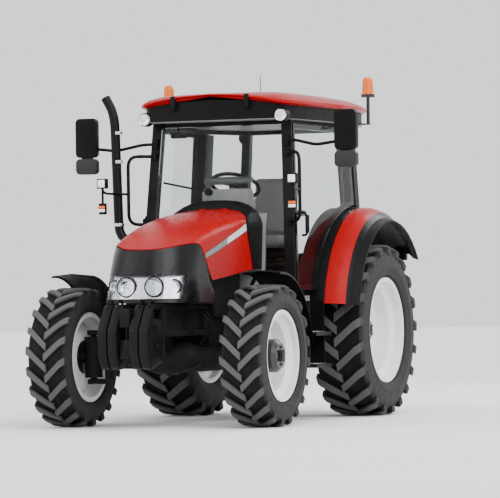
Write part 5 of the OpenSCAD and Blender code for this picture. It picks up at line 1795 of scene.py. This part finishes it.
@dataclass
class Studio:
    """Pale floor, soft lights and the photograph's camera."""

    frame: Frame
    camera_place: Place = (23.919, 9.496, 0.956)
    camera_yaw: float = 3.5271
    camera_pitch: float = 0.0139
    camera_roll: float = -0.0151
    focal_px: float = 3260.5
    image_px: float = 500.0
    sensor_mm: float = 36.0
    floor_size: float = 120.0
    floor_colours: tuple[Colour, Colour] = ((0.86, 0.86, 0.86), (0.83, 0.83, 0.83))
    floor_rough: Pair = (0.75, 0.9)
    floor_shine: float = 0.1
    sky: float = 1.35
    sky_colour: Colour = (0.97, 0.98, 1.0)
    # Direction and strength of each bright part of the sky
    soft_panels: tuple[tuple[Place, float], ...] = (((0.55, 0.55, 0.63), 3.4), ((0.62, -0.60, 0.50), 1.1))
    panel_reach: Pair = (0.78, 0.95)
    # Name, place, size and watts of each lamp
    lamps: tuple[tuple[str, Place, float, float], ...] = (
        ("key", (6.0, 6.5, 7.5), 5.0, 250.0),
        ("fill", (7.0, -7.0, 5.0), 5.0, 80.0),
        ("rim", (-7.0, 3.0, 6.0), 4.0, 300.0),
    )
    lamp_aim: Place = (0.0, 0.0, 1.1)

    def build(self) -> None:
        """Make floor, world, lights and camera."""
        self.floor()
        self.world()
        for lamp in self.lamps:
            self.lamp(*lamp)
        self.camera()

    def floor(self) -> None:
        """Make the pale floor."""
        bpy.ops.object.select_all(action="DESELECT")
        bpy.ops.mesh.primitive_plane_add(size=self.floor_size)
        floor = bpy.context.object
        floor.name = "floor"
        g = Graph("floor_white")
        g.put(Specular_IOR_Level=self.floor_shine)
        g.link(g.mix(g.vary(Drift.FLOOR), *self.floor_colours), g.shader.inputs["Base Color"])
        g.link(g.vary(Drift.FLOOR_GLOSS, *self.floor_rough), g.shader.inputs["Roughness"])
        floor.data.materials.append(g.material)
        floor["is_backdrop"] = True

    def world(self) -> None:
        """Make the sky, brightened softly around a few directions."""
        world = bpy.data.worlds.new("studio")
        bpy.context.scene.world = world
        world.use_nodes = True
        tree = world.node_tree
        sky = tree.nodes["Background"]
        sky.inputs["Color"].default_value = (*self.sky_colour, 1.0)
        way = tree.nodes.new("ShaderNodeTexCoord").outputs["Generated"]
        total: Any = None
        for direction, power in self.soft_panels:
            dot = tree.nodes.new("ShaderNodeVectorMath")
            dot.operation = "DOT_PRODUCT"
            dot.inputs[1].default_value = Vector(direction).normalized()
            tree.links.new(way, dot.inputs[0])
            spread = tree.nodes.new("ShaderNodeMapRange")
            spread.interpolation_type = "SMOOTHSTEP"
            for key, number in zip(("From Min", "From Max", "To Max"), (*self.panel_reach, power)):
                spread.inputs[key].default_value = number
            tree.links.new(dot.outputs["Value"], spread.inputs["Value"])
            add = tree.nodes.new("ShaderNodeMath")
            tree.links.new(spread.outputs["Result"], add.inputs[0])
            if total is None:
                add.inputs[1].default_value = self.sky
            else:
                tree.links.new(total, add.inputs[1])
            total = add.outputs["Value"]
        tree.links.new(total, sky.inputs["Strength"])

    def camera(self) -> None:
        """Make the camera at the photograph's place."""
        data = bpy.data.cameras.new("camera")
        obj = bpy.data.objects.new("camera", data)
        bpy.context.scene.collection.objects.link(obj)
        data.sensor_width = self.sensor_mm
        data.lens = self.focal_px / self.image_px * self.sensor_mm
        data.clip_end = 2 * self.floor_size
        pitch, yaw, roll = self.camera_pitch, self.camera_yaw, self.camera_roll
        ahead = Vector((math.cos(pitch) * math.cos(yaw), math.cos(pitch) * math.sin(yaw), math.sin(pitch)))
        side = ahead.cross(Vector(UP)).normalized()
        up = side.cross(ahead)
        right = math.cos(roll) * side + math.sin(roll) * up
        top = math.cos(roll) * up - math.sin(roll) * side
        turn = Matrix((right, top, -ahead)).transposed().to_4x4()
        obj.matrix_world = Matrix.Translation(self.frame.at(*self.camera_place)) @ turn
        bpy.context.scene.camera = obj

    def lamp(self, name: str, place: Point, size: float, power: float) -> None:
        """One square soft light that looks at the tractor.

        Args:
            name: Name of the light.
            place: Where it hangs.
            size: Length of its sides.
            power: Its watts.
        """
        data = bpy.data.lights.new(name, "AREA")
        data.size = size
        data.energy = power
        obj = bpy.data.objects.new(name, data)
        obj.location = Vector(place)
        obj.rotation_euler = (Vector(self.lamp_aim) - obj.location).to_track_quat("-Z", "Y").to_euler()
        bpy.context.scene.collection.objects.link(obj)


GROUPS: tuple[type[Assembly], ...] = (
    Headlamps,
    Seat,
    CabInside,
    Screen,
    RoofTrim,
    OuterLamps,
    FrontEnd,
    MirrorGlass,
    DoorGrips,
    Steps,
    RearEnd,
    Exhaust,
)


def main() -> None:
    """Build and dress the tractor."""
    logging.basicConfig(level=logging.INFO, format="%(message)s")
    frame = Frame()
    paints = Paints(FittedFinishes(frame).build())
    Castings(frame, paints).dress()
    for end, nut_circle in NUT_CIRCLES.items():
        for side, way in SIDES:
            Wheel(frame, paints, end, side, way, nut_circle).build()
    for group in GROUPS:
        group(frame, paints).build()
    Studio(frame).build()
    frame.write_sizes()


if __name__ == "__main__":
    main()
